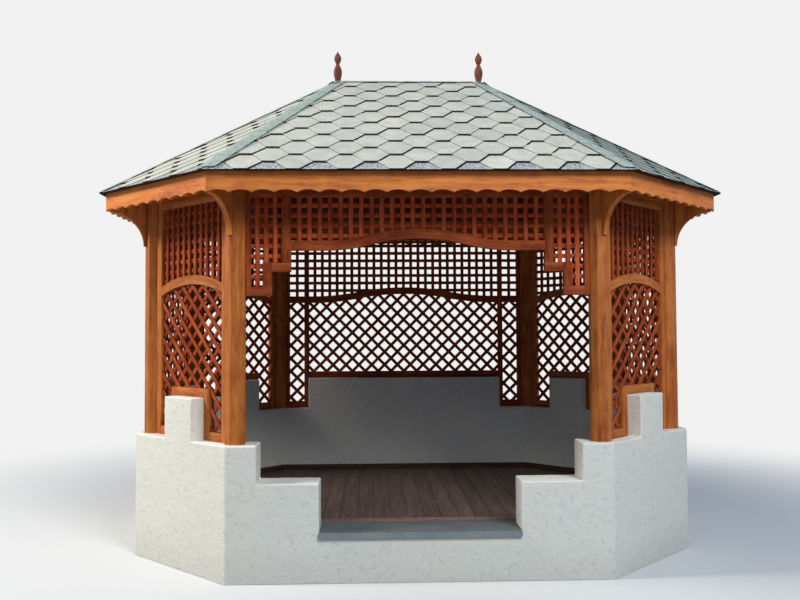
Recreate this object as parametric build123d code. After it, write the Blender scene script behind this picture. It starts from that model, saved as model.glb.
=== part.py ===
from build123d import *
import os
from math import atan2, ceil, cos, degrees, floor, hypot, radians, sqrt, tan

# Garden gazebo: an elongated octagon of low rendered walls that carries eight
# timber posts, lattice panels between them and a hipped roof with a short ridge.
# Millimetres, +Z up. The origin is on the ground in the middle of the plan, and
# the doorway faces -Y.

# Plan, measured between post centres
front_length = 2400
side_length = 1240
corner_run = 700

# Rendered masonry walls
wall_thickness = 240
low_wall_height = 870
merlon_rise = 285
side_shoulder = 330
back_shoulder = 287
parapet_height = 630
pier_reach = 150
doorway_width = 1300

# Floor and doorway sill
floor_height = 295
board_thickness = 25
board_width = 120
board_groove = 4
sill_thickness = 38
sill_nosing = 18
sill_rise = 25
sill_tail = 45
skirting_height = 48
skirting_thickness = 15

# Octagonal posts and the ring beam that they carry
post_width = 128
beam_underside = 2545
beam_width = 100
beam_depth = 125

# Framed lattice panels between the posts
panel_depth = 45
member_width = 60
bay_stile = 44
notch_clearance = 3
slat_width = 29
slat_thickness = 10
lattice_pitch = 67.5
back_lattice_pitch = 72
diagonal_pitch = 88
side_arch_drop = 710
side_arch_rise = 95
back_arch_drop = 669
back_arch_rise = 84
arch_rail_depth = 64

# Frieze over the doorway
spandrel_width = 299
spandrel_foot_width = 174
spandrel_drop = 711
step_drop = 554
post_stile = 36
frieze_arch_drop = 413
frieze_arch_rise = 79
frieze_level_end = 217

# Roof
eave_overhang = 320
roof_rise = 1022
fascia_height = 131
fascia_thickness = 22
scallop_pitch = 138
scallop_depth = 18
deck_thickness = 20
shingle_thickness = 9
cap_thickness = 7
drip_overhang = 35
cap_width = 110
hip_width = 50
hip_depth = 125
rafter_width = 45
rafter_depth = 105
rafter_spacing = 400
rafter_notch = 8
ridge_beam_depth = 150
hub_width = 200
hub_depth = 210

# Knee brackets under the eaves
bracket_thickness = 38
bracket_drop = 240
bracket_foot = 14

# Turned finials
finial_height = 243
finial_base_radius = 36
finial_collar = 14
lower_bulb_radius = 34
upper_bulb_radius = 29
waist_radius = 13
waist_share = 0.5
point_share = 0.84

# Small clearances between neighbouring solids
joint_gap = 2
seat_gap = 0.3

# Values that follow from the driving dimensions
width = front_length + 2 * corner_run
depth = side_length + 2 * corner_run
half_turn = radians(22.5)
merlon_top = low_wall_height + merlon_rise
base_top = floor_height - board_thickness
sill_top = floor_height + sill_rise
sill_underside = sill_top - sill_thickness
sill_back = -depth / 2 + wall_thickness / 2 + sill_tail
ridge_half = (width - depth) / 2
roof_run = depth / 2 + eave_overhang
roof_pitch = roof_rise / roof_run
beam_top = beam_underside + beam_depth
# The common rafters are notched over the beam's outer edge
eave_height = (beam_top - rafter_notch + rafter_depth
               - roof_pitch * (eave_overhang - beam_width / 2))
tall = 2 * (eave_height + roof_rise)
# Heights in the panels and the frieze hang from the beam
side_arch_spring = beam_underside - side_arch_drop
back_arch_spring = beam_underside - back_arch_drop
spandrel_underside = beam_underside - spandrel_drop
step_underside = beam_underside - step_drop
frieze_arch_spring = beam_underside - frieze_arch_drop

side_names = ["front", "right_front", "right_side", "right_back",
              "back", "left_back", "left_side", "left_front"]
corner_names = ["front_left", "front_right", "right_front", "right_back",
                "back_right", "back_left", "left_back", "left_front"]


# Plan corners, anticlockwise from the front left, pushed out from the post line
def octagon(out):
    spread = out * tan(half_turn)
    long_x, long_y = front_length / 2 + spread, depth / 2 + out
    short_x, short_y = width / 2 + out, side_length / 2 + spread
    return [Vector(-long_x, -long_y), Vector(long_x, -long_y),
            Vector(short_x, -short_y), Vector(short_x, short_y),
            Vector(long_x, long_y), Vector(-long_x, long_y),
            Vector(-short_x, short_y), Vector(-short_x, -short_y)]


post_centres = octagon(0)


def polygon(points):
    return make_face(Polyline(*points, close=True))


def next_corner(index):
    return (index + 1) % len(post_centres)


def side_vector(index):
    return post_centres[next_corner(index)] - post_centres[index]


# A plane standing on one side of the octagon: X runs left to right as seen
# from outside, Y is up and Z points outwards, with the origin on the ground
# halfway between the two posts
def side_plane(index):
    along = side_vector(index).normalized()
    middle = post_centres[index] + side_vector(index) * 0.5
    return Plane(origin=middle, x_dir=along, z_dir=Vector(along.Y, -along.X, 0))


def side_span(index):
    return side_vector(index).length


# A mitred length of a ring on one side, between two offsets from the post line
def ring_block(index, inner, outer, low, high):
    inside, outside = octagon(inner), octagon(outer)
    follow = next_corner(index)
    plan = polygon([inside[index], outside[index], outside[follow], inside[follow]])
    return Pos(0, 0, low) * extrude(plan, high - low)


# Thin cuts on the mitre lines, which leave the lengths of one ring separate
def mitre_cuts():
    cuts = []
    inside, outside = octagon(-corner_run / 2), octagon(2 * eave_overhang)
    for near, far in zip(inside, outside):
        line = far - near
        turn = degrees(atan2(line.Y, line.X))
        middle = near + line * 0.5
        cuts.append(Pos(middle.X, middle.Y, tall / 2)
                    * Rot(0, 0, turn) * Box(line.length, joint_gap, tall))
    return cuts


def ring(inner, outer, low, high):
    hoop = polygon(octagon(outer)) - polygon(octagon(inner))
    return Pos(0, 0, low) * extrude(hoop, high - low) - mitre_cuts()


# An elevation drawn on one side, made solid to both sides of the post line
def standing(index, face, thickness):
    return extrude(side_plane(index) * face, thickness / 2, both=True)


def rectangle(left, right, low, high):
    return Pos((left + right) / 2, (low + high) / 2) * Rectangle(right - left, high - low)


# Walls
def merlon_half(index):
    shoulder = back_shoulder if side_names[index] == "back" else side_shoulder
    return side_span(index) / 2 - shoulder


def wall(index):
    reach = side_span(index)
    low_part = rectangle(-reach, reach, 0, low_wall_height)
    merlon = rectangle(-merlon_half(index), merlon_half(index), 0, merlon_top)
    body = standing(index, low_part + merlon, 2 * wall_thickness)
    return body & ring_block(index, -wall_thickness / 2, wall_thickness / 2, 0, merlon_top)


def front_wall(side):
    reach = front_length
    pier_end = front_length / 2 - pier_reach
    pier = rectangle(pier_end, reach, 0, low_wall_height)
    parapet = rectangle(doorway_width / 2, reach, 0, parapet_height)
    face = pier + parapet
    if side < 0:
        face = mirror(face, Plane.YZ)
    block = ring_block(0, -wall_thickness / 2, wall_thickness / 2, 0, low_wall_height)
    return standing(0, face, 2 * wall_thickness) & block


def threshold_wall():
    half = doorway_width / 2
    return standing(0, rectangle(-half, half, 0, sill_underside), wall_thickness)


# Floor
def inner_plan(clear):
    return polygon(octagon(-wall_thickness / 2 - clear))


def floor_base():
    return extrude(inner_plan(0), base_top)


# Tongue-and-groove boards laid front to back behind two border boards, with an
# open groove at each joint and a rebate that carries the sill's tail
def floor_boards():
    count = ceil(width / board_width / 2)
    border = sill_back + 2 * board_width
    grooves = [Pos(board_width * (place + 0.5), border + depth, floor_height)
               * Box(board_groove, 2 * depth, 2 * board_groove)
               for place in range(-count, count)]
    grooves += [Pos(0, border - board_width * row, floor_height)
                * Box(2 * width, board_groove, 2 * board_groove) for row in range(2)]
    boards = Pos(0, 0, base_top) * extrude(inner_plan(0), board_thickness)
    return boards - grooves - door_sill()


def door_sill():
    half = doorway_width / 2
    front = -depth / 2 - wall_thickness / 2 - sill_nosing
    plan = rectangle(-half, half, front, sill_back)
    return Pos(0, 0, sill_underside) * extrude(plan, sill_thickness)


def skirting():
    outer = -wall_thickness / 2 - seat_gap
    strip = ring(outer - skirting_thickness, outer,
                 floor_height, floor_height + skirting_height)
    doorway = Pos(0, -depth / 2, floor_height) * Box(
        doorway_width + 2 * joint_gap, 2 * wall_thickness, 4 * skirting_height)
    return strip - doorway


# Posts stand on the low wall with two flats square to the panels
def post(index):
    centre = post_centres[index]
    section = RegularPolygon(post_width / 2 / cos(half_turn), 8, rotation=22.5)
    return Pos(centre.X, centre.Y, low_wall_height) * extrude(
        section, beam_underside - low_wall_height)


def ring_beam():
    return ring(-beam_width / 2, beam_width / 2, beam_underside, beam_top)


# Lattice: thin slats in two layers, which cross just clear of each other and are
# housed in the frame at their ends
def rows_from_top(low, high, pitch):
    count = floor((high - low) / pitch)
    return [high - (row + 1) * pitch + slat_width / 2 for row in range(count)]


def columns(left, right, pitch):
    count = floor((right - left) / pitch)
    hole = (right - left - count * slat_width) / (count + 1)
    return [left + (hole + slat_width) * (place + 1) - slat_width / 2
            for place in range(count)]


def upright_slats(opening, pitch):
    box = opening.bounding_box()
    middle, tallness = box.center().Y, box.size.Y
    strips = [Pos(x, middle) * Rectangle(slat_width, tallness)
              for x in columns(box.min.X, box.max.X, pitch)]
    return opening & (Sketch() + strips)


def level_slats(opening, top, pitch):
    box = opening.bounding_box()
    middle, wideness = box.center().X, box.size.X
    strips = [Pos(middle, y) * Rectangle(wideness, slat_width)
              for y in rows_from_top(box.min.Y, top, pitch)]
    return opening & (Sketch() + strips)


def diagonal_slats(opening, lean):
    box = opening.bounding_box()
    reach = hypot(box.size.X, box.size.Y)
    count = floor(reach / 2 / diagonal_pitch)
    middle = Pos(box.center().X, box.center().Y) * Rot(0, 0, lean)
    strips = [middle * Pos(0, step * diagonal_pitch) * Rectangle(reach, slat_width)
              for step in range(-count, count + 1)]
    return opening & (Sketch() + strips)


def layered(index, front, back):
    plane = side_plane(index)
    near, far = plane.offset(seat_gap / 2), plane.offset(-seat_gap / 2)
    return [extrude(near * front, slat_thickness), extrude(far * back, -slat_thickness)]


def square_lattice(index, opening, top, pitch):
    return layered(index, upright_slats(opening, pitch), level_slats(opening, top, pitch))


def diagonal_lattice(index, opening, lean):
    return layered(index, diagonal_slats(opening, lean), diagonal_slats(opening, -lean))


# A segmental arch rail across a panel, from its underside upwards
def segment_rail(half, spring, rise):
    lower = ThreePointArc((-half, spring), (0, spring + rise), (half, spring))
    upper = Pos(0, arch_rail_depth) * lower
    ends = [Line(lower @ 0, upper @ 0), Line(lower @ 1, upper @ 1)]
    return make_face([lower, upper] + ends)


# An eyebrow arch rail: level at its ends, then a reverse curve up to a rounded crown
def eyebrow_rail(half, spring, rise, level_end):
    reach = half - level_end
    quarter = reach / 2
    radius = (reach ** 2 + rise ** 2) / (4 * rise)
    sag = radius - sqrt(radius ** 2 - (quarter / 2) ** 2)
    curve = [Line((-half, spring), (-reach, spring)),
             ThreePointArc((-reach, spring), (-reach + quarter / 2, spring + sag),
                           (-quarter, spring + rise / 2)),
             ThreePointArc((-quarter, spring + rise / 2), (0, spring + rise),
                           (quarter, spring + rise / 2)),
             ThreePointArc((quarter, spring + rise / 2),
                           (reach - quarter / 2, spring + sag), (reach, spring)),
             Line((reach, spring), (half, spring))]
    upper = [Pos(0, arch_rail_depth) * piece for piece in curve]
    ends = [Line((side, spring), (side, spring + arch_rail_depth)) for side in (-half, half)]
    return make_face(curve + upper + ends)


def above(rail, opening, level):
    faces = (opening - rail).faces()
    return Sketch() + [face for face in faces if face.center().Y > level]


def below(rail, opening, level):
    faces = (opening - rail).faces()
    return Sketch() + [face for face in faces if face.center().Y < level]


# One panel between two posts, stepped over the merlon below it
def side_panel(index):
    half = side_span(index) / 2 - post_width / 2
    notch = merlon_half(index) + notch_clearance
    outline = (rectangle(-half, half, low_wall_height, beam_underside)
               - rectangle(-notch, notch, low_wall_height, merlon_top))
    opening = offset(outline, -member_width, kind=Kind.INTERSECTION)
    rail = segment_rail(half, side_arch_spring, side_arch_rise) & outline
    frame = standing(index, outline - opening + rail, panel_depth)
    lattice_top = beam_underside - member_width
    upper = above(rail, opening, side_arch_spring + side_arch_rise)
    lower = below(rail, opening, side_arch_spring)
    lean = 45 if "right" in side_names[index] else -45
    return frame + (square_lattice(index, upper, lattice_top, lattice_pitch)
                    + diagonal_lattice(index, lower, lean))


# The back panel is three framed bays, because it is long
def back_panel(bay):
    index = side_names.index("back")
    half = side_span(index) / 2 - post_width / 2
    notch = merlon_half(index) + notch_clearance
    bay_edge = notch + bay_stile
    spring, rise = back_arch_spring, back_arch_rise
    if bay == 0:
        outline = rectangle(-notch, notch, merlon_top, beam_underside)
        rail = eyebrow_rail(notch, spring, rise, bay_stile)
        opening = rectangle(-notch, notch, merlon_top + member_width,
                            beam_underside - member_width)
    else:
        left, right = (notch, half) if bay > 0 else (-half, -notch)
        outline = rectangle(left, right, low_wall_height, beam_underside)
        rail = rectangle(left, right, spring, spring + arch_rail_depth)
        inner = (bay_edge, half - post_stile) if bay > 0 else (post_stile - half, -bay_edge)
        opening = rectangle(*inner, low_wall_height + member_width,
                            beam_underside - member_width)
    frame = standing(index, outline - opening + rail, panel_depth)
    lattice_top = beam_underside - member_width
    upper = above(rail, opening, spring + rise)
    lower = below(rail, opening, spring)
    return frame + (square_lattice(index, upper, lattice_top, back_lattice_pitch)
                    + diagonal_lattice(index, lower, 45))


# Frieze over the doorway: a stepped spandrel by each post, an eyebrow between
def frieze_centre():
    half = front_length / 2 - post_width / 2 - spandrel_width
    rail = eyebrow_rail(half, frieze_arch_spring, frieze_arch_rise, frieze_level_end)
    top_rail = rectangle(-half, half, beam_underside - member_width, beam_underside)
    field = rectangle(-half, half, frieze_arch_spring, beam_underside - member_width)
    opening = above(rail, field, frieze_arch_spring + arch_rail_depth + frieze_arch_rise)
    frame = standing(0, rail + top_rail, panel_depth)
    return frame + square_lattice(0, opening, beam_underside - member_width, lattice_pitch)


def frieze_side(side):
    outer = front_length / 2 - post_width / 2
    inner = outer - spandrel_width
    foot = outer - spandrel_foot_width
    top = beam_underside - member_width
    outline = polygon([(outer, spandrel_underside), (foot, spandrel_underside),
                       (foot, step_underside), (inner, step_underside),
                       (inner, beam_underside), (outer, beam_underside)])
    opening = polygon([(outer - post_stile, spandrel_underside + member_width),
                       (foot + member_width, spandrel_underside + member_width),
                       (foot + member_width, step_underside + member_width),
                       (inner + member_width, step_underside + member_width),
                       (inner + member_width, top), (outer - post_stile, top)])
    if side < 0:
        outline, opening = mirror(outline, Plane.YZ), mirror(opening, Plane.YZ)
    frame = standing(0, outline - opening, panel_depth)
    return frame + square_lattice(0, opening, top, lattice_pitch)


# Roof planes: each slope rises from its fascia to the ridge, so the deck's
# underside is known at the eight fascia corners and at the two ridge ends
fascia_corners = octagon(eave_overhang)
ridge_ends = [Vector(-ridge_half, 0), Vector(ridge_half, 0)]


def ridge_end(index):
    return ridge_ends[0] if fascia_corners[index].X < 0 else ridge_ends[1]


# A point on one hip, at a distance out from the ridge as a share of the run
def hip_point(index, share):
    top = ridge_end(index)
    flat = top + (fascia_corners[index] - top) * share
    return Vector(flat.X, flat.Y, eave_height + roof_rise * (1 - share))


def eave_share(overhang):
    return 1 + overhang / roof_run


# Corners of one slope, anticlockwise from its left-hand eave corner
def slope_corners(index, overhang):
    follow = next_corner(index)
    share = eave_share(overhang)
    points = [hip_point(index, share), hip_point(follow, share), hip_point(follow, 0)]
    if ridge_end(index) != ridge_end(follow):
        points.append(hip_point(index, 0))
    return points


def lifted(points, low, high):
    face = Face(Wire.make_polygon([point + Vector(0, 0, low) for point in points]))
    return Solid.extrude(face, Vector(0, 0, high - low))


# The whole roof as one thick skin, to trim what meets it
def roof_skin(low, high):
    skins = [lifted(slope_corners(index, drip_overhang), low, high) for index in range(8)]
    return skins[0] + skins[1:]


def hip_cuts():
    cuts = []
    for index in range(8):
        outer, inner = hip_point(index, eave_share(2 * drip_overhang)), hip_point(index, 0)
        line = outer - inner
        turn = degrees(atan2(line.Y, line.X))
        middle = (outer + inner) * 0.5
        cuts.append(Pos(middle.X, middle.Y, tall / 2)
                    * Rot(0, 0, turn) * Box(hypot(line.X, line.Y), joint_gap, tall))
    cuts.append(Pos(0, 0, tall / 2) * Box(2 * ridge_half, joint_gap, tall))
    return cuts


def slope_plates(low, high, overhang):
    plates = [lifted(slope_corners(index, overhang), low, high) for index in range(8)]
    cuts = hip_cuts()
    return Compound(children=[plate - cuts for plate in plates])


deck_top = deck_thickness
shingle_top = deck_top + shingle_thickness
cap_top = shingle_top + cap_thickness


# Caps are strips of the roof's surface that follow the hips and the ridge
def hip_and_ridge_caps():
    skin = roof_skin(shingle_top, cap_top)
    strips = []
    for index in range(8):
        outer, inner = hip_point(index, eave_share(drip_overhang)), hip_point(index, 0)
        line = outer - inner
        turn = degrees(atan2(line.Y, line.X))
        middle = (outer + inner) * 0.5
        strips.append(Pos(middle.X, middle.Y, tall / 2)
                      * Rot(0, 0, turn) * Box(hypot(line.X, line.Y), cap_width, tall))
    strips.append(Pos(0, 0, tall / 2) * Box(2 * ridge_half + cap_width, cap_width, tall))
    return skin & (strips[0] + strips[1:])


# Fascia with a scalloped foot
def fascia_boards():
    boards = []
    for index in range(8):
        corner, follow = fascia_corners[index], fascia_corners[next_corner(index)]
        length = (follow - corner).length
        count = round(length / scallop_pitch)
        chord = length / count
        radius = (chord ** 2 / 4 + scallop_depth ** 2) / (2 * scallop_depth)
        foot = eave_height - fascia_height
        board = rectangle(-length / 2, length / 2, foot, eave_height)
        centres = [(-length / 2 + chord * (place + 0.5), foot + scallop_depth - radius)
                   for place in range(count)]
        board -= [Pos(x, y) * Circle(radius) for x, y in centres]
        block = ring_block(index, eave_overhang - fascia_thickness, eave_overhang,
                           foot, eave_height)
        boards.append(standing(index, board, 3 * eave_overhang) & block)
    cuts = mitre_cuts()
    return Compound(children=[board - cuts for board in boards])


# Roof timbers
def hip_run(index):
    line = hip_point(index, 1) - hip_point(index, 0)
    return hypot(line.X, line.Y)


def inside_fascia(clear):
    return extrude(polygon(octagon(eave_overhang - fascia_thickness - clear)), tall)


def hip_rafters(attic, beam, ridge):
    rafters = []
    for index in range(8):
        inner, outer = hip_point(index, 0), hip_point(index, 1)
        line = Vector(outer.X - inner.X, outer.Y - inner.Y)
        plane = Plane(origin=(inner.X, inner.Y, 0), x_dir=line,
                      z_dir=Vector(line.Y, -line.X, 0))
        run = hip_run(index)
        low = polygon([(hub_width / 2, inner.Z - roof_rise * hub_width / 2 / run - hip_depth),
                       (run, outer.Z - hip_depth), (run, outer.Z + hip_depth),
                       (hub_width / 2, inner.Z)])
        rafters.append(extrude(plane * low, hip_width / 2, both=True))
    core = inside_fascia(0)
    return Compound(children=[(rafter & attic & core) - beam - ridge for rafter in rafters])


# Common rafters stand along the ridge, as many as fit between its two hubs
def common_rafters(beam):
    clear_half = ridge_half - hub_width / 2 / cos(half_turn) - rafter_width
    count = floor(clear_half / rafter_spacing)
    places = [rafter_spacing * step for step in range(-count, count + 1)]
    start, tail = rafter_width / 2, roof_run - fascia_thickness
    high, low = [eave_height + roof_pitch * (roof_run - place) for place in (start, tail)]
    profile = polygon([(start, high - rafter_depth), (tail, low - rafter_depth),
                       (tail, low), (start, high)])
    rafters = []
    for side in (-1, 1):
        for x in places:
            plane = Plane(origin=(x, 0, 0), x_dir=(0, side, 0), z_dir=(side, 0, 0))
            rafters.append(extrude(plane * profile, rafter_width / 2, both=True) - beam)
    return Compound(children=rafters)


def ridge_beam(attic):
    top = eave_height + roof_rise
    beam = Pos(0, 0, top - ridge_beam_depth / 2) * Box(2 * ridge_half, rafter_width,
                                                       ridge_beam_depth)
    section = RegularPolygon(hub_width / 2 / cos(half_turn), 8, rotation=22.5)
    hubs = [Pos(end.X, 0, top - hub_depth) * extrude(section, hub_depth)
            for end in ridge_ends]
    return (beam + hubs) & attic


# Knee brackets stand on the outer arris of each post, under the hip rafter
def eave_brackets(hips):
    brackets = []
    core = inside_fascia(seat_gap)
    arris = post_width / 2 / cos(half_turn)
    tip = (eave_overhang - fascia_thickness) / cos(half_turn)
    corner = eave_overhang / cos(half_turn)
    foot = eave_height - fascia_height - bracket_drop
    for index in range(8):
        out = fascia_corners[index] - post_centres[index]
        plane = Plane(origin=post_centres[index], x_dir=out, z_dir=Vector(out.Y, -out.X, 0))
        climb = roof_rise / hip_run(index)
        near, inside = arris + seat_gap, arris + bracket_foot
        top_at = [eave_height + (corner - place) * climb - hip_depth - seat_gap
                  for place in (near, tip)]
        radius_x, radius_y = tip - inside, bracket_drop
        diagonal = sqrt(0.5)
        edge = [Line((near, foot), (inside, foot)),
                ThreePointArc((inside, foot),
                              (tip - radius_x * diagonal, foot + radius_y * diagonal),
                              (tip, foot + radius_y)),
                Line((tip, foot + radius_y), (tip, top_at[1])),
                Line((tip, top_at[1]), (near, top_at[0])),
                Line((near, top_at[0]), (near, foot))]
        body = extrude(plane * make_face(edge), bracket_thickness / 2, both=True)
        brackets.append((body & core) - hips)
    return Compound(children=brackets)


# Finials: two turned bulbs under a pointed tip, saddled over each ridge end
def finials():
    apex = eave_height + roof_rise + cap_top
    low, collar = apex - 2 * finial_base_radius, apex + finial_collar
    neck = collar + finial_base_radius - waist_radius
    waist, point = apex + waist_share * finial_height, apex + point_share * finial_height
    outline = [Line((0, low), (finial_base_radius, low)),
               Line((finial_base_radius, low), (finial_base_radius, collar)),
               Line((finial_base_radius, collar), (waist_radius, neck)),
               ThreePointArc((waist_radius, neck), (lower_bulb_radius, (neck + waist) / 2),
                             (waist_radius, waist)),
               ThreePointArc((waist_radius, waist), (upper_bulb_radius, (waist + point) / 2),
                             (waist_radius, point)),
               Line((waist_radius, point), (0, apex + finial_height)),
               Line((0, apex + finial_height), (0, low))]
    turned = revolve(Plane.XZ * make_face(outline), Axis.Z)
    covering = roof_skin(-roof_rise, cap_top)
    return Compound(children=[Pos(end.X, 0, 0) * turned - covering for end in ridge_ends])


def build():
    nodes = {"wall_front_left": front_wall(-1),
             "wall_front_right": front_wall(1),
             "wall_threshold": threshold_wall(),
             "floor_base": floor_base(),
             "floor_boards": floor_boards(),
             "door_sill": door_sill(),
             "skirting": skirting()}
    for index, name in enumerate(side_names):
        if name != "front":
            nodes["wall_" + name] = wall(index)
    for index, name in enumerate(corner_names):
        nodes["post_" + name] = post(index)
    beam = ring_beam()
    nodes["ring_beam"] = beam
    nodes["frieze_centre"] = frieze_centre()
    nodes["frieze_left"] = frieze_side(-1)
    nodes["frieze_right"] = frieze_side(1)
    for index, name in enumerate(side_names):
        if name not in ("front", "back"):
            nodes["lattice_" + name] = side_panel(index)
    for bay, name in ((-1, "right"), (0, "centre"), (1, "left")):
        nodes["back_panel_" + name] = back_panel(-bay)
    attic = roof_skin(-roof_rise, 0)
    ridge = ridge_beam(attic)
    hips = hip_rafters(attic, beam, ridge)
    nodes["ridge_beam"] = ridge
    nodes["hip_rafters"] = hips
    nodes["common_rafters"] = common_rafters(beam)
    nodes["eave_brackets"] = eave_brackets(hips)
    nodes["fascia_boards"] = fascia_boards()
    nodes["roof_deck"] = slope_plates(0, deck_top, 0)
    nodes["roof_shingles"] = slope_plates(deck_top, shingle_top, drip_overhang)
    nodes["hip_and_ridge_caps"] = hip_and_ridge_caps()
    nodes["finials"] = finials()
    return nodes


os.makedirs("parts", exist_ok=True)
for name, shape in build().items():
    export_step(shape, "parts/" + name + ".step")
    print(name, round(shape.volume))
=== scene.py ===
import bpy
import bmesh
import math
from contextlib import contextmanager
from mathutils import Matrix, Vector


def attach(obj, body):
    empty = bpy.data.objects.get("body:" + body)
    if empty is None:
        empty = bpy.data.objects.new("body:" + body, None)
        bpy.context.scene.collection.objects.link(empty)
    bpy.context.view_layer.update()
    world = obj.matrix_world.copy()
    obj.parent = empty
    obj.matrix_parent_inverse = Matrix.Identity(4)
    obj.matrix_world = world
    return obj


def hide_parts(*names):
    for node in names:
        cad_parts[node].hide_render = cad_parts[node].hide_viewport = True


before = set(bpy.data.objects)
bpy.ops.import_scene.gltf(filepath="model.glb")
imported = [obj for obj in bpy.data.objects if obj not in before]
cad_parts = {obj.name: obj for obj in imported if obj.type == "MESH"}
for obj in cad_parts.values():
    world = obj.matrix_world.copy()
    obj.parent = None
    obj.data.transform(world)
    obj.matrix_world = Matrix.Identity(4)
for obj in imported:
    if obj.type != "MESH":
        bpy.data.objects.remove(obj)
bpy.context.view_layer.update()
print("stage: packed frame loaded,", len(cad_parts), "nodes")

# Plan of the gazebo in metres, measured between post centres
plan = {"frontLength": 2.40, "sideLength": 1.24, "cornerRun": 0.70,
        "lowWall": 0.870, "merlonTop": 1.155, "beamUnderside": 2.545, "beamTop": 2.670,
        "beamHalf": 0.050, "postWidth": 0.128, "eaveOverhang": 0.320, "roofRise": 1.022,
        "rafterSeat": 0.008, "rafterAbove": 0.105, "deckThickness": 0.020}
plan["width"] = plan["frontLength"] + 2 * plan["cornerRun"]
plan["depth"] = plan["sideLength"] + 2 * plan["cornerRun"]
plan["roofRun"] = plan["depth"] / 2 + plan["eaveOverhang"]
roofSlope = plan["roofRise"] / plan["roofRun"]
plan["eaveHeight"] = (plan["beamTop"] - plan["rafterSeat"] + plan["rafterAbove"]
                      - roofSlope * (plan["eaveOverhang"] - plan["beamHalf"]))
sideNames = ["front", "right_front", "right_side", "right_back",
             "back", "left_back", "left_side", "left_front"]


def toLinear(code):
    values = [int(code[place:place + 2], 16) / 255 for place in (1, 3, 5)]
    return [v / 12.92 if v <= 0.04045 else ((v + 0.055) / 1.055) ** 2.4 for v in values] + [1.0]


# Sets inputs from sockets, from the first live output of nodes (several in a tuple of nodes),
# or to plain values and colours
def wire(node, wires):
    for key, value in wires.items():
        isRow = isinstance(value, tuple) and isinstance(value[0], bpy.types.Node)
        for item in value if isRow else [value]:
            if isinstance(item, bpy.types.Node):
                item = next(output for output in item.outputs if output.enabled)
            if isinstance(item, bpy.types.NodeSocket):
                node.id_data.links.new(item, node.inputs[key])
            elif isinstance(item, str) and item.startswith("#"):
                node.inputs[key].default_value = toLinear(item)
            else:
                node.inputs[key].default_value = item


# The kind is given without the prefix of its family
def addNode(tree, kind, wires={}, **settings):
    kinds = (family + kind for family in ("GeometryNode", "FunctionNode", "ShaderNode", ""))
    node = tree.nodes.new(next(name for name in kinds if hasattr(bpy.types, name)))
    for name, value in settings.items():
        setattr(node, name, value)
    wire(node, wires)
    return node


# Inputs are given by their default, or by the name of their type where they have none
def newTree(name, inputs):
    tree = bpy.data.node_groups.new(name, "GeometryNodeTree")
    for label, value in {"Geometry": "Geometry", **inputs}.items():
        kind = value if isinstance(value, str) else {float: "Float", int: "Int"}[type(value)]
        socket = tree.interface.new_socket(label, in_out="INPUT", socket_type="NodeSocket" + kind)
        if kind != value:
            socket.default_value = value
    tree.interface.new_socket("Geometry", in_out="OUTPUT", socket_type="NodeSocketGeometry")
    return tree, addNode(tree, "NodeGroupInput").outputs, addNode(tree, "NodeGroupOutput")


def addObject(name, data):
    item = bpy.data.objects.new(name, data)
    bpy.context.scene.collection.objects.link(item)
    return item


# Runs a tree on a mesh and hands back plain mesh data
def grow(base, tree, values):
    host = addObject("host", base)
    modifier = host.modifiers.new("grow", "NODES")
    modifier.node_group = tree
    for item in tree.interface.items_tree:
        if item.in_out == "INPUT" and item.name in values:
            modifier[item.identifier] = values[item.name]
    graph = bpy.context.evaluated_depsgraph_get()
    mesh = bpy.data.meshes.new_from_object(host.evaluated_get(graph),
                                           preserve_all_data_layers=True, depsgraph=graph)
    bpy.data.objects.remove(host)
    return mesh


def makePiece(name, mesh, nodes):
    piece = addObject(name, mesh)
    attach(piece, "root")
    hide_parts(*nodes)


# Joins several meshes into one, keeping their attributes and materials
def joinMeshes(name, meshes):
    parts = [addObject("part", mesh) for mesh in meshes]
    with bpy.context.temp_override(active_object=parts[0], object=parts[0],
                                   selected_editable_objects=parts, selected_objects=parts):
        bpy.ops.object.join()
    mesh = parts[0].data
    bpy.data.objects.remove(parts[0])
    mesh.name = name
    return mesh


@contextmanager
def editing(mesh):
    shape = bmesh.new()
    shape.from_mesh(mesh)
    yield shape
    shape.to_mesh(mesh)
    shape.free()


# Stores numbers or vectors on a mesh, for the trees and materials to read
def giveAttribute(mesh, name, domain, values):
    isVector = not isinstance(values[0], float)
    layer = mesh.attributes.new(name, "FLOAT_VECTOR" if isVector else "FLOAT", domain)
    flat = [part for vector in values for part in vector] if isVector else values
    layer.data.foreach_set("vector" if isVector else "value", flat)


def octagon(out):
    spread = out * math.tan(math.radians(22.5))
    longX, longY = plan["frontLength"] / 2 + spread, plan["depth"] / 2 + out
    shortX, shortY = plan["width"] / 2 + out, plan["sideLength"] / 2 + spread
    return [Vector((x, y, 0)) for x, y in (
        (-longX, -longY), (longX, -longY), (shortX, -shortY), (shortX, shortY),
        (longX, longY), (-longX, longY), (-shortX, shortY), (-shortX, -shortY))]


postCentres = octagon(0)


# Axes of one side: along it as seen from outside, outwards, its middle and its length
def sideAxes(index):
    start, end = postCentres[index], postCentres[(index + 1) % 8]
    along = (end - start).normalized()
    return along, Vector((along.y, -along.x, 0)), (start + end) / 2, (end - start).length


def onSide(index, x, height, out=0):
    along, normal, middle, span = sideAxes(index)
    return middle + along * x + normal * out + Vector((0, 0, height))


cameraSettings = {"place": (-0.307, -6.867, 1.60), "yaw": 0.0333, "pitch": 0.0368,
                  "roll": -0.0051, "focalPixels": 842.9, "imageWidth": 800, "sensor": 36}


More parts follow.
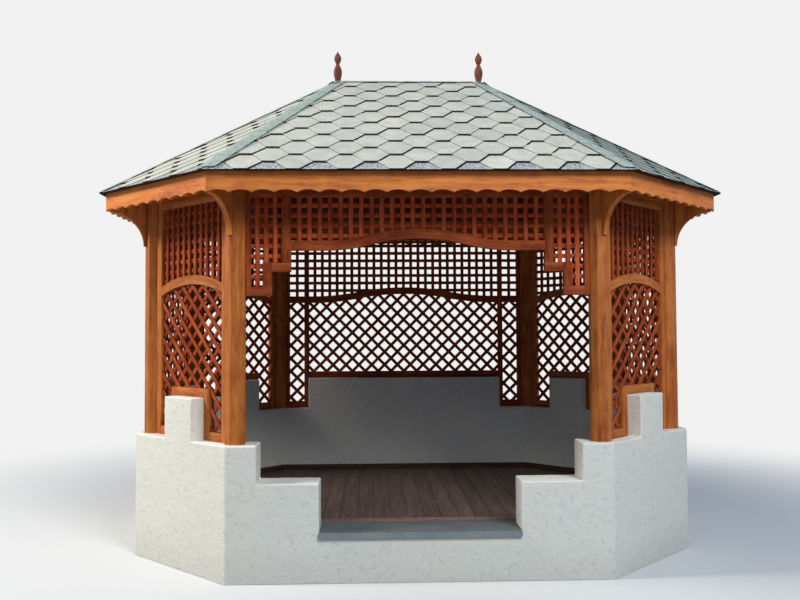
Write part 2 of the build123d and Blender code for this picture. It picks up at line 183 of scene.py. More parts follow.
def makeCamera(s):
    forward = Vector((math.sin(s["yaw"]) * math.cos(s["pitch"]),
                      math.cos(s["yaw"]) * math.cos(s["pitch"]), math.sin(s["pitch"])))
    right = Vector((math.cos(s["yaw"]), -math.sin(s["yaw"]), 0))
    up = right.cross(forward)
    rolledRight = right * math.cos(s["roll"]) + up * math.sin(s["roll"])
    rolledUp = up * math.cos(s["roll"]) - right * math.sin(s["roll"])
    data = bpy.data.cameras.new("camera")
    data.sensor_width = s["sensor"]
    data.lens = s["sensor"] * s["focalPixels"] / s["imageWidth"]
    camera = addObject("camera", data)
    turn = Matrix((rolledRight, rolledUp, -forward)).transposed().to_4x4()
    camera.matrix_world = Matrix.Translation(s["place"]) @ turn
    bpy.context.scene.camera = camera


makeCamera(cameraSettings)
print("stage: camera")


def newMaterial(name):
    material = bpy.data.materials.new(name)
    material.use_nodes = True
    tree = material.node_tree
    return material, tree, tree.nodes["Principled BSDF"]


def setStops(ramp, stops):
    elements = ramp.color_ramp.elements
    while len(elements) < len(stops):
        elements.new(0.5)
    for element, (position, code) in zip(elements, stops):
        element.position, element.color = position, toLinear(code)
    return ramp


timberSettings = {"streakWidth": 0.006, "figureWidth": 0.030, "stretch": 0.09,
                  "cloudsPerMetre": 6.0}


# Redwood with a satin mahogany stain: fine streaks, slow figure along the grain,
# and a thin varnish that softens the highlight
def stainedTimber(name, source, pale, middle, deep, vein, gloss):
    s = timberSettings
    material, tree, shader = newMaterial(name)
    if source == "grain":  # each member carries its own grain coordinates, Z along it
        place = addNode(tree, "Attribute", attribute_name="grain").outputs["Vector"]
    else:
        place = addNode(tree, "TexCoord").outputs["Object"]
    if source == "level":  # grain along the horizontal line in each upright face
        facing = addNode(tree, "NewGeometry").outputs["True Normal"]
        level = addNode(tree, "VectorMath", {0: (0, 0, 1), 1: facing}, operation="CROSS_PRODUCT")
        run = addNode(tree, "VectorMath", {0: place, 1: level}, operation="DOT_PRODUCT")
        height = addNode(tree, "SeparateXYZ", {0: place}).outputs[2]
        place = addNode(tree, "CombineXYZ", {0: height, 1: facing, 2: run})
    stretched = addNode(tree, "Mapping", {"Vector": place, "Scale": (1, 1, s["stretch"])})
    figure = addNode(tree, "TexNoise", {"Vector": stretched, "Scale": 1 / s["figureWidth"],
                                        "Detail": 2, "Distortion": 0.5})
    streak = addNode(tree, "TexNoise", {"Vector": stretched, "Scale": 1 / s["streakWidth"],
                                        "Detail": 4, "Roughness": 0.6})
    cloud = addNode(tree, "TexNoise", {"Vector": place, "Detail": 2,
                                       "Scale": s["cloudsPerMetre"]})
    grain = addNode(tree, "Mix", {0: 0.5, 2: figure, 3: streak})
    blend = addNode(tree, "Mix", {0: 0.25, 2: grain, 3: cloud})
    colour = setStops(addNode(tree, "ValToRGB", {0: blend}),
                      [(0.33, vein), (0.42, deep), (0.51, middle), (0.62, pale)])
    tone = addNode(tree, "Attribute", attribute_name="tone").outputs["Fac"]
    value = addNode(tree, "MapRange", {0: tone, 3: 1.04, 4: 0.88})
    wire(shader, {
        "Base Color": addNode(tree, "HueSaturation", {"Value": value, "Color": colour}),
        "Roughness": addNode(tree, "MapRange", {0: streak, 3: 0.46, 4: 0.64}),
        "Normal": addNode(tree, "Bump", {"Height": streak, "Strength": 0.2, "Distance": 0.0006}),
        "Specular IOR Level": gloss})
    return material


renderSettings = {"base": "#EBE4D3", "cool": "#DEDFD3", "stain": "#CBC7BA", "pit": "#8F8D82",
                  "lump": 0.034, "grit": 0.009, "patch": 0.40}


# Lime-white masonry render, thrown on by hand: matt, lumpy and pitted, faintly patchy.
# The grit is drawn at 9 mm, coarser than real sand, so that it shows
def whiteRender(s):
    material, tree, shader = newMaterial("whiteRender")
    place = addNode(tree, "TexCoord").outputs["Object"]
    patch = addNode(tree, "TexNoise", {"Vector": place, "Scale": 1 / s["patch"], "Detail": 4})
    lump = addNode(tree, "TexNoise", {"Vector": place, "Scale": 1 / s["lump"], "Detail": 3,
                                      "Distortion": 0.6})
    grit = addNode(tree, "TexNoise", {"Vector": place, "Scale": 1 / s["grit"], "Detail": 2})
    relief = addNode(tree, "Mix", {0: 0.35, 2: lump, 3: grit})
    pits = addNode(tree, "MapRange", {0: relief, 1: 0.30, 2: 0.45, 3: 0.36, 4: 0.0})
    patchy = addNode(tree, "Mix", {0: patch, 6: s["cool"], 7: s["base"]}, data_type="RGBA")
    height = addNode(tree, "SeparateXYZ", {0: place}).outputs[2]
    low = addNode(tree, "MapRange", {0: height, 1: 0.0, 2: 0.25, 3: 0.45, 4: 0.0})
    soiled = addNode(tree, "Mix", {0: low, 6: patchy, 7: s["stain"]}, data_type="RGBA")
    wire(shader, {
        "Base Color": addNode(tree, "Mix", {0: pits, 6: soiled, 7: s["pit"]}, data_type="RGBA"),
        "Normal": addNode(tree, "Bump", {"Height": relief, "Strength": 0.6, "Distance": 0.010}),
        "Roughness": 0.95, "Specular IOR Level": 0.2})
    return material


# The black colour serves the cut edges and the painted shadow lines under the tabs
shingleColours = {"starter": "#9B9C98", "grey": "#B0B1A4", "sage": "#B9B8A8", "cream": "#C9C4B2",
                  "bitumenAndShadow": "#1D2126", "granule": 0.009, "blotch": 0.11,
                  "darkest": 0.72, "lightest": 1.24, "starterSpeckle": 4.5}


# Bitumen shingle under mineral granules: very rough and speckled, black where cut and
# where the dark sheets of painted shadow lie under the tabs.
# The granules are drawn at 9 mm, coarser than real ones, so that they show
def mineralShingle(name, s):
    material, tree, shader = newMaterial(name)
    place = addNode(tree, "TexCoord").outputs["Object"]
    tone = addNode(tree, "Attribute", attribute_name="tone").outputs["Fac"]
    colour = setStops(addNode(tree, "ValToRGB", {0: tone}),
                      [(0.08, s["starter"]), (0.1, s["grey"]), (0.5, s["sage"]),
                       (0.93, s["sage"]), (1.0, s["cream"])])
    granule = addNode(tree, "TexNoise", {"Vector": place, "Scale": 1 / s["granule"], "Detail": 2})
    cloud = addNode(tree, "TexNoise", {"Vector": place, "Scale": 1 / s["blotch"], "Detail": 4})
    mixed = addNode(tree, "Mix", {0: 0.4, 2: granule, 3: cloud})
    plain = addNode(tree, "MapRange", {0: mixed, 1: 0.3, 2: 0.7, 3: s["darkest"],
                                       4: s["lightest"]})
    starter = addNode(tree, "Math", {0: tone, 1: 0.09}, operation="LESS_THAN")
    grains = addNode(tree, "Math", {0: granule, 1: 0.5}, operation="SUBTRACT")
    coarse = addNode(tree, "Math", {0: grains, 1: s["starterSpeckle"]}, operation="MULTIPLY")
    value = addNode(tree, "Math", {0: starter, 1: coarse, 2: plain}, operation="MULTIPLY_ADD")
    speckled = addNode(tree, "HueSaturation", {"Value": value, "Color": colour})
    # Marks cut edges, and the whole of each dark sheet of painted shadow, for the black
    cut = addNode(tree, "Attribute", attribute_name="cutEdge").outputs["Fac"]
    wire(shader, {
        "Base Color": addNode(tree, "Mix", {0: cut, 6: speckled, 7: s["bitumenAndShadow"]},
                              data_type="RGBA"),
        "Normal": addNode(tree, "Bump", {"Height": granule, "Strength": 0.5, "Distance": 0.001}),
        "Roughness": 0.95, "Specular IOR Level": 0.2})
    return material


boardSettings = {"boardWidth": 0.120, "borderEdge": -0.915, "boardShift": 9.0,
                 "pale": "#705B4F", "middle": "#5C483D", "deep": "#43332C",
                 "knot": "#2A1B14", "seam": "#2A1D17", "streaksPerMetre": 120.0,
                 "figuresPerMetre": 20.0, "knotsPerMetre": (9, 4.6, 1)}


# Oiled softwood boards, walked on: grain runs front to back, and across the doorway in
# the two border boards; each board has its own tone and its own knots
def floorTimber(s):
    material, tree, shader = newMaterial("oiledFloorBoards")
    place = addNode(tree, "TexCoord").outputs["Object"]
    x, y, z = addNode(tree, "SeparateXYZ", {0: place}).outputs
    border = addNode(tree, "Math", {0: y, 1: s["borderEdge"]}, operation="LESS_THAN")
    fromEdge = addNode(tree, "Math", {0: y, 1: s["borderEdge"] - s["boardWidth"] / 2},
                       operation="SUBTRACT")
    across = addNode(tree, "Mix", {0: border, 2: x, 3: fromEdge})
    along = addNode(tree, "Mix", {0: border, 2: y, 3: x})
    steps = addNode(tree, "Math", {0: across, 1: s["boardWidth"]}, operation="DIVIDE")
    number = addNode(tree, "Math", {0: steps}, operation="ROUND")
    owner = addNode(tree, "Math", {0: border, 1: 57.0, 2: number}, operation="MULTIPLY_ADD")
    board = addNode(tree, "TexWhiteNoise", {"W": owner}, noise_dimensions="1D")
    moved = addNode(tree, "Math", {0: board, 1: s["boardShift"], 2: along},
                    operation="MULTIPLY_ADD")
    own = addNode(tree, "CombineXYZ", {0: across, 1: moved, 2: z})
    stretched = addNode(tree, "Mapping", {"Vector": own, "Scale": (1, 0.06, 1)})
    streak = addNode(tree, "TexNoise", {"Vector": stretched, "Detail": 5, "Distortion": 0.4,
                                        "Scale": s["streaksPerMetre"]})
    wide = addNode(tree, "TexNoise", {"Vector": stretched, "Scale": s["figuresPerMetre"],
                                      "Detail": 3})
    blend = addNode(tree, "Mix", {0: 0.5, 2: streak, 3: wide})
    colour = setStops(addNode(tree, "ValToRGB", {0: blend}),
                      [(0.34, s["deep"]), (0.5, s["middle"]), (0.66, s["pale"])])
    knotPlace = addNode(tree, "Mapping", {"Vector": own, "Scale": s["knotsPerMetre"]})
    knots = addNode(tree, "TexVoronoi", {"Vector": knotPlace, "Scale": 1.0},
                    voronoi_dimensions="2D")
    knot = addNode(tree, "MapRange", {0: knots, 1: 0.06, 2: 0.12, 3: 0.8, 4: 0.0})
    knotted = addNode(tree, "Mix", {0: knot, 6: colour, 7: s["knot"]}, data_type="RGBA")
    lighter = addNode(tree, "Math", {0: border, 1: 0.85, 2: 0.8}, operation="MULTIPLY_ADD")
    value = addNode(tree, "Math", {0: board, 1: 0.35, 2: lighter}, operation="MULTIPLY_ADD")
    tinted = addNode(tree, "HueSaturation", {"Value": value, "Color": knotted})
    inBoard = addNode(tree, "Math", {0: steps, 1: number}, operation="SUBTRACT")
    fromMiddle = addNode(tree, "Math", {0: inBoard}, operation="ABSOLUTE")
    seam = addNode(tree, "MapRange", {0: fromMiddle, 1: 0.470, 2: 0.485, 4: 0.35})
    wire(shader, {
        "Base Color": addNode(tree, "Mix", {0: seam, 6: tinted, 7: s["seam"]}, data_type="RGBA"),
        "Normal": addNode(tree, "Bump", {"Height": streak, "Strength": 0.3, "Distance": 0.001}),
        "Roughness": 0.6})
    return material


# Grey stone or cement: matt, mottled by the sand in it; the last number paints the faces
# that look up darker, as painted shade
def castStone(name, light, dark, grain, paintedTopShade=1.0):
    material, tree, shader = newMaterial(name)
    place = addNode(tree, "TexCoord").outputs["Object"]
    cloud = addNode(tree, "TexNoise", {"Vector": place, "Scale": 7.0, "Detail": 6})
    sand = addNode(tree, "TexNoise", {"Vector": place, "Scale": 1 / grain, "Detail": 2})
    mixed = addNode(tree, "Mix", {0: 0.4, 2: cloud, 3: sand})
    spread = addNode(tree, "MapRange", {0: mixed, 1: 0.35, 2: 0.65})
    colour = addNode(tree, "Mix", {0: spread, 6: dark, 7: light}, data_type="RGBA")
    # Faces that look up are painted darker by the last number: painted shade
    facing = addNode(tree, "NewGeometry").outputs["True Normal"]
    upward = addNode(tree, "SeparateXYZ", {0: facing}).outputs[2]
    value = addNode(tree, "MapRange", {0: upward, 1: 0.3, 2: 0.9, 3: 1.0, 4: paintedTopShade})
    wire(shader, {
        "Base Color": addNode(tree, "HueSaturation", {"Value": value, "Color": colour}),
        "Normal": addNode(tree, "Bump", {"Height": sand, "Strength": 0.4, "Distance": 0.0015}),
        "Roughness": 0.85})
    return material


# Most rows are copies of one stain, made lighter or darker for the light each part gets:
# painted light and painted shade. The skirting and finials have their own darker stains.
# Columns: name, where the grain comes from, pale, middle, deep and vein colours, gloss
timber = {row[0]: stainedTimber(*row) for row in (
    ("stainedUprightTimber", "upright", "#DA833B", "#C9702E", "#B05923", "#883E17", 0.22),
    ("stainedLevelTimber", "level", "#E18A3E", "#D17834", "#B96028", "#90451E", 0.22),
    ("stainedMemberTimber", "grain", "#C77836", "#B7672A", "#9E501E", "#773614", 0.22),
    ("stainedSlatTimber", "grain", "#B4592A", "#9C421A", "#782B10", "#4A1809", 0.1),
    ("stainedFriezeSlatTimber", "grain", "#D66A3A", "#BE5128", "#96361A", "#5E200F", 0.1),
    ("stainedFriezeTimber", "grain", "#AC562A", "#96431E", "#782F14", "#56210C", 0.1),
    ("shadedRoofTimber", "level", "#8A4424", "#733519", "#5A2610", "#3E190A", 0.1),
    ("darkSkirtingTimber", "level", "#5A4034", "#483229", "#37251D", "#261811", 0.22),
    ("darkTurnedTimber", "upright", "#7E3F2E", "#683226", "#50241B", "#3A1812", 0.22))}
memberTimber, friezeTimber = timber["stainedMemberTimber"], timber["stainedFriezeTimber"]
render = whiteRender(renderSettings)
shingle = mineralShingle("mineralShingle", shingleColours)
# A darker copy of the shingle for the right-hand slopes: painted shade
paintedShadeShingle = mineralShingle("paintedShadeMineralShingle", dict(
    shingleColours, grey="#868E83", sage="#8B9387", cream="#9A998B"))
capStrip = mineralShingle("mineralCapStrip", dict(
    shingleColours, grey="#919C92", sage="#97A297", cream="#9FA89B", blotch=0.030,
    darkest=0.50, lightest=1.45))
floorFinish = floorTimber(boardSettings)
# The sill's top is painted darker: painted shade
sillStone = castStone("sillStone", "#8C9492", "#747E7F", 0.004, 0.5)
slabConcrete = castStone("slabConcrete", "#8E8C86", "#6F6E69", 0.006)
print("stage: materials")

# Timber bars: every edge of a drawn mesh becomes one squared length
barTree, given, result = newTree("timberBars", {
    "Bar Width": 0.060, "Bar Depth": 0.045, "Corner Round": 0.002, "Seed": 1,
    "Material": "Material"})
tree = barTree
ends = addNode(tree, "InputMeshEdgeVertices").outputs
run = addNode(tree, "VectorMath", {0: ends["Position 2"], 1: ends["Position 1"]},
              operation="SUBTRACT")
reach = addNode(tree, "VectorMath", {0: run}, operation="LENGTH")
lines = given["Geometry"]
for label, value, kind in (("run", run, "FLOAT_VECTOR"), ("reach", reach, "FLOAT")):
    lines = addNode(tree, "StoreNamedAttribute", {"Geometry": lines, "Name": label,
                    "Value": value}, data_type=kind, domain="EDGE")
middles = addNode(tree, "MeshToPoints", {"Mesh": lines}, mode="EDGES")
runThere, outThere, reachThere, grainThere, toneThere = [
    addNode(tree, "InputNamedAttribute", {"Name": label}, data_type=kind)
    for label, kind in (("run", "FLOAT_VECTOR"), ("facing", "FLOAT_VECTOR"), ("reach", "FLOAT"),
                        ("grain", "FLOAT_VECTOR"), ("tone", "FLOAT"))]
profile = addNode(tree, "CurvePrimitiveQuadrilateral", {"Width": given["Bar Width"],
                                                        "Height": given["Bar Depth"]})
eased = addNode(tree, "FilletCurve", {"Curve": profile, "Radius": given["Corner Round"],
                                      "Count": 1}, mode="POLY")
spine = addNode(tree, "CurvePrimitiveLine", {"Start": (0, 0, -0.5), "End": (0, 0, 0.5)})
bar = addNode(tree, "CurveToMesh", {"Curve": spine, "Profile Curve": eased, "Fill Caps": True})
local = addNode(tree, "StoreNamedAttribute", {"Geometry": bar, "Name": "grain",
                "Value": addNode(tree, "InputPosition")}, data_type="FLOAT_VECTOR",
                domain="POINT")
turn = addNode(tree, "AxesToRotation", {"Primary Axis": runThere, "Secondary Axis": outThere},
               primary_axis="Z", secondary_axis="Y")
size = addNode(tree, "CombineXYZ", {0: 1.0, 1: 1.0, 2: reachThere})
placed = addNode(tree, "InstanceOnPoints", {"Points": middles, "Instance": local,
                                            "Rotation": turn, "Scale": size})
chance = addNode(tree, "RandomValue", {"Seed": given["Seed"]}, data_type="FLOAT")
toned = addNode(tree, "StoreNamedAttribute", {"Geometry": placed, "Name": "tone",
                "Value": chance}, data_type="FLOAT", domain="INSTANCE")
real = addNode(tree, "RealizeInstances", {"Geometry": toned})
trueSize = addNode(tree, "VectorMath", {0: grainThere, 1: size}, operation="MULTIPLY")
drift = addNode(tree, "VectorMath", {0: (7.1, 3.7, 5.3), "Scale": toneThere}, operation="SCALE")
owned = addNode(tree, "VectorMath", {0: trueSize, 1: drift}, operation="ADD")
grained = addNode(tree, "StoreNamedAttribute", {"Geometry": real, "Name": "grain",
                  "Value": owned}, data_type="FLOAT_VECTOR", domain="POINT")
wire(result, {0: addNode(tree, "SetMaterial", {"Geometry": grained,
                                               "Material": given["Material"]})})


# Bars along straight lines: each line is (start, end, the way its face looks)
def makeBars(lines, width, depth, rounding, seed, material):
    mesh = bpy.data.meshes.new("lines")
    mesh.from_pydata([point for line in lines for point in line[:2]],
                     [(2 * place, 2 * place + 1) for place in range(len(lines))], [])
    giveAttribute(mesh, "facing", "EDGE", [line[2] for line in lines])
    return grow(mesh, barTree, {"Bar Width": width, "Bar Depth": depth, "Corner Round": rounding,
                                "Seed": seed, "Material": material})


# A closed bar through a row of sections, with grain coordinates along its length
def loftBar(name, sections, acrossOf, material, tone):
    mesh = bpy.data.meshes.new(name)
    rows, grains, travelled = [], {}, 0.0
    with editing(mesh) as shape:
        for place, section in enumerate(sections):
            if place:
                travelled += (section[0] - sections[place - 1][0]).length
            row = [shape.verts.new(point) for point in section]
            for vertex, across in zip(row, acrossOf):
                grains[vertex] = (across[0] + 3 * tone, across[1] + tone, travelled + 7 * tone)
            rows.append(row)
        for near, far in zip(rows, rows[1:]):
            for place in range(len(acrossOf)):
                follow = (place + 1) % len(acrossOf)
                shape.faces.new((near[place], near[follow], far[follow], far[place]))
        shape.faces.new(list(reversed(rows[0])))
        shape.faces.new(rows[-1])
        bmesh.ops.recalc_face_normals(shape, faces=shape.faces)
        shape.verts.index_update()
        ordered = [grains[vertex] for vertex in shape.verts]
    giveAttribute(mesh, "grain", "POINT", ordered)
    giveAttribute(mesh, "tone", "POINT", [tone] * len(ordered))
    mesh.materials.append(material)
    return mesh


# Sizes shared by all the framed lattice panels
latticeSettings = {"member": 0.060, "panelDepth": 0.045, "postStile": 0.036, "bayStile": 0.044,
                   "notchClear": 0.003, "slatWidth": 0.029, "slatThickness": 0.010,
                   "pitch": 0.0675, "backPitch": 0.072, "diagonalPitch": 0.088,
                   "layerGap": 0.0003, "housed": 0.022, "railDepth": 0.064,
                   "sideShoulder": 0.330, "sideArchDrop": 0.710, "sideArchRise": 0.095,
                   "backShoulder": 0.284, "backArchDrop": 0.669, "backArchRise": 0.084,
                   "slatRound": 0.0012, "memberRound": 0.002, "archStep": 0.03,
                   "railTuck": 0.001}


def segmentEdge(half, spring, rise):
    radius = (half ** 2 + rise ** 2) / (2 * rise)
    return lambda x: spring + rise - radius + math.sqrt(radius ** 2 - x ** 2)


def eyebrowEdge(half, spring, rise, levelEnd):
    reach = half - levelEnd
    radius = (reach ** 2 + rise ** 2) / (4 * rise)

    def edge(x):
        x = abs(x)
        if x > reach:
            return spring
        if x > reach / 2:
            return spring + radius - math.sqrt(radius ** 2 - (reach - x) ** 2)
        return spring + rise - radius + math.sqrt(radius ** 2 - x ** 2)
    return edge


# Pieces of an endless line that lie inside a closed outline
def clipLine(point, direction, outline):
    hits = []
    for start, end in zip(outline, outline[1:] + outline[:1]):
        edge = (end[0] - start[0], end[1] - start[1])
        cross = direction[0] * edge[1] - direction[1] * edge[0]
        if abs(cross) < 1e-9:
            continue
        offset = (start[0] - point[0], start[1] - point[1])
        along = (offset[0] * edge[1] - offset[1] * edge[0]) / cross
        share = (offset[0] * direction[1] - offset[1] * direction[0]) / cross
        if 0 <= share < 1:
            hits.append(along)
    hits.sort()
    shortest = 0.02
    return [((point[0] + direction[0] * a, point[1] + direction[1] * a),
             (point[0] + direction[0] * b, point[1] + direction[1] * b))
            for a, b in zip(hits[::2], hits[1::2]) if b - a > shortest]


# Upright and level slats of a grid, as lines inside an outline
def gridLines(left, right, low, top, pitch, outline):
    s = latticeSettings
    count = math.floor((right - left) / pitch)
    hole = (right - left - count * s["slatWidth"]) / (count + 1)
    upright = [line for step in range(count) for line in clipLine(
        (left + (hole + s["slatWidth"]) * (step + 1) - s["slatWidth"] / 2, 0), (0, 1), outline)]
    level = [line for step in range(math.floor((top - low) / pitch)) for line in clipLine(
        (0, top - (step + 1) * pitch + s["slatWidth"] / 2), (1, 0), outline)]
    return upright, level


def diagonalLines(centre, reach, lean, outline):
    pitch, angle = latticeSettings["diagonalPitch"], math.radians(lean)
    direction, step = (math.cos(angle), math.sin(angle)), (-math.sin(angle), math.cos(angle))
    count = math.floor(reach / 2 / pitch)
    return [line for turn in range(-count, count + 1)
            for line in clipLine((centre[0] + step[0] * turn * pitch,
                                  centre[1] + step[1] * turn * pitch), direction, outline)]


# Two layers of slats, the first one outside
def slatMeshes(index, layers, seed):
    s = latticeSettings
    facing = sideAxes(index)[1]
    off = s["slatThickness"] / 2 + s["layerGap"] / 2
    lines = [(onSide(index, *a, out), onSide(index, *b, out), facing)
             for layer, out in zip(layers, (off, -off)) for a, b in layer]
    material = timber["stainedSlatTimber" if index else "stainedFriezeSlatTimber"]
    return makeBars(lines, s["slatWidth"], s["slatThickness"], s["slatRound"], seed, material)


# The crossed slats below an arch, from its crown down to the foot
def trellis(index, left, right, crown, foot, lean, outline, seed):
    reach = math.hypot(right - left, crown - foot)
    centre = ((left + right) / 2, (crown + foot) / 2)
    return slatMeshes(index, [diagonalLines(centre, reach, lean, outline),
                              diagonalLines(centre, reach, -lean, outline)], seed)


def memberMeshes(index, members, seed, material):
    s, facing = latticeSettings, sideAxes(index)[1]
    meshes = []
    for place, width in enumerate(sorted({width for a, b, width in members})):
        lines = [(onSide(index, *a), onSide(index, *b), facing)
                 for a, b, w in members if w == width]
        meshes.append(makeBars(lines, width, s["panelDepth"], s["memberRound"], seed + place,
                               material))
    return meshes


def archRail(index, edge, left, right, tone, material):
    s = latticeSettings
    half, ease, depth = s["panelDepth"] / 2, s["memberRound"], s["railDepth"]
    acrossOf = [(0, -half + ease), (0, half - ease), (ease, half), (depth - ease, half),
                (depth, half - ease), (depth, -half + ease), (depth - ease, -half), (ease, -half)]
    steps = max(8, round((right - left) / s["archStep"]))
    places = [left + (right - left) * step / steps for step in range(steps + 1)]
    sections = [[onSide(index, x, edge(x) + up, out) for up, out in acrossOf] for x in places]
    return loftBar("archRail", sections, acrossOf, material, tone)


def bowPoints(edge, left, right, lift, steps=24):
    return [(left + (right - left) * step / steps,
             edge(left + (right - left) * step / steps) + lift) for step in range(steps + 1)]


# Outline of the grid above an arched rail, let into the members around it
def gridOutline(edge, left, right, top, steps=24):
    s = latticeSettings
    e, roof = s["housed"], top - s["member"] + s["housed"]
    return ([(left - e, roof)] + bowPoints(edge, left - e, right + e, s["railDepth"] - e, steps)
            + [(right + e, roof)])


def sidePanel(index, seed):
    s, name = latticeSettings, sideNames[index]
    span = sideAxes(index)[3]
    half, notch = span / 2 - plan["postWidth"] / 2, span / 2 - s["sideShoulder"] + s["notchClear"]
    low, top, sill = plan["lowWall"], plan["beamUnderside"], plan["merlonTop"]
    m, e = s["member"], s["housed"]
    inner = half - m
    edge = segmentEdge(half, top - s["sideArchDrop"], s["sideArchRise"])
    members = [((-half + m, top - m / 2), (half - m, top - m / 2), m),
               ((-notch, sill + m / 2), (notch, sill + m / 2), m)]
    for side in (-1, 1):
        members += [((side * (half - m / 2), low), (side * (half - m / 2), top), m),
                    ((side * (notch + m / 2), low), (side * (notch + m / 2), sill + m), m),
                    ((side * (notch + m), low + m / 2), (side * (half - m), low + m / 2), m)]
    upper = gridOutline(edge, -inner, inner, top)
    lower = (bowPoints(edge, -inner - e, inner + e, e)
             + [(inner + e, low + m - e), (notch + m - e, low + m - e),
                (notch + m - e, sill + m - e), (-notch - m + e, sill + m - e),
                (-notch - m + e, low + m - e), (-inner - e, low + m - e)])
    meshes = memberMeshes(index, members, seed, memberTimber)
    meshes.append(archRail(index, edge, -inner - s["railTuck"], inner + s["railTuck"],
                           0.3 + 0.07 * index, memberTimber))
    meshes.append(slatMeshes(index, gridLines(-inner, inner, edge(inner) + s["railDepth"],
                                              top - m, s["pitch"], upper), seed + 5))
    meshes.append(trellis(index, -inner, inner, edge(0), low + m, 45 if "right" in name else -45,
                          lower, seed + 6))
    return joinMeshes("lattice", meshes)


def backPanel(bay, seed):
    s, index = latticeSettings, 4
    half = plan["frontLength"] / 2 - plan["postWidth"] / 2
    notch = plan["frontLength"] / 2 - s["backShoulder"]
    low, top, sill = plan["lowWall"], plan["beamUnderside"], plan["merlonTop"]
    m, e, stile, thin = s["member"], s["housed"], s["bayStile"], s["postStile"]
    spring = top - s["backArchDrop"]
    meshes = []
    if bay == 0:
        edge = eyebrowEdge(notch, spring, s["backArchRise"], stile)
        members = [((-notch, y), (notch, y), m) for y in (top - m / 2, sill + m / 2)]
        left, right, foot = -notch, notch, sill + m
        meshes.append(archRail(index, edge, left, right, 0.55, friezeTimber))
    else:
        edge = lambda x: spring
        left, right, foot = notch + stile, half - thin, low + m
        middle, reach = bay * (left + right) / 2, (right - left) / 2
        members = [((middle - reach, y), (middle + reach, y), width)
                   for y, width in ((top - m / 2, m), (low + m / 2, m),
                                    (spring + s["railDepth"] / 2, s["railDepth"]))]
        members += [((bay * x, low), (bay * x, top), width)
                    for x, width in ((notch + stile / 2, stile), (half - thin / 2, thin))]
        if bay < 0:
            left, right = -right, -left
    meshes += memberMeshes(index, members, seed, friezeTimber)
    upper = gridOutline(edge, left, right, top)
    lower = (bowPoints(edge, left - e, right + e, e)
             + [(right + e, foot - e), (left - e, foot - e)])
    meshes.append(slatMeshes(index, gridLines(left, right, edge(right) + s["railDepth"], top - m,
                                              s["backPitch"], upper), seed + 5))
    meshes.append(trellis(index, left, right, edge((left + right) / 2), foot, 45, lower,
                          seed + 6))
    return joinMeshes("lattice", meshes)


friezeSettings = {"spandrelWidth": 0.299, "footWidth": 0.174, "spandrelDrop": 0.711,
                  "stepDrop": 0.554, "archDrop": 0.413, "archRise": 0.079, "levelEnd": 0.217}


def friezeCentre(seed):
    s, f = latticeSettings, friezeSettings
    top, m = plan["beamUnderside"], s["member"]
    half = plan["frontLength"] / 2 - plan["postWidth"] / 2 - f["spandrelWidth"]
    spring = top - f["archDrop"]
    edge = eyebrowEdge(half, spring, f["archRise"], f["levelEnd"])
    meshes = memberMeshes(0, [((-half, top - m / 2), (half, top - m / 2), m)], seed, friezeTimber)
    meshes.append(archRail(0, edge, -half, half, 0.2, friezeTimber))
    meshes.append(slatMeshes(0, gridLines(-half, half, spring + s["railDepth"], top - m,
                                          s["pitch"], gridOutline(edge, -half, half, top, 60)),
                             seed + 5))
    return joinMeshes("frieze", meshes)


def friezeSide(side, seed):
    s, f = latticeSettings, friezeSettings
    top, m, e, stile = plan["beamUnderside"], s["member"], s["housed"], s["postStile"]
    outer = plan["frontLength"] / 2 - plan["postWidth"] / 2
    inner, foot = outer - f["spandrelWidth"], outer - f["footWidth"]
    low, step = top - f["spandrelDrop"], top - f["stepDrop"]
    members = [((outer - stile / 2, low), (outer - stile / 2, top), stile),
               ((foot, low + m / 2), (outer - stile, low + m / 2), m),
               ((foot + m / 2, low + m), (foot + m / 2, step + m), m),
               ((inner, step + m / 2), (foot, step + m / 2), m),
               ((inner + m / 2, step + m), (inner + m / 2, top), m),
               ((inner + m, top - m / 2), (outer - stile, top - m / 2), m)]
    outline = [(outer - stile + e, low + m - e), (foot + m - e, low + m - e),
               (foot + m - e, step + m - e), (inner + m - e, step + m - e),
               (inner + m - e, top - m + e), (outer - stile + e, top - m + e)]
    upright, level = gridLines(inner + m, outer - stile, low + m, top - m, s["pitch"], outline)
    if side < 0:
        members, upright, level = [
            [((-a[0], a[1]), (-b[0], b[1]), *width) for a, b, *width in lines]
            for lines in (members, upright, level)]
    meshes = memberMeshes(0, members, seed, friezeTimber)
    meshes.append(slatMeshes(0, [upright, level], seed + 5))
    return joinMeshes("frieze", meshes)


for index, name in enumerate(sideNames):
    if name not in ("front", "back"):
        makePiece("latticePanel_" + name, sidePanel(index, 10 * index),
                  ["lattice_" + name])
for bay, name in ((1, "left"), (0, "centre"), (-1, "right")):
    makePiece("backLattice_" + name, backPanel(bay, 100 + 10 * bay),
              ["back_panel_" + name])
for name, mesh in (("centre", friezeCentre(130)), ("left", friezeSide(-1, 140)),
                   ("right", friezeSide(1, 150))):
    makePiece("doorFrieze_" + name, mesh, ["frieze_" + name])
print("stage: lattice panels and frieze")


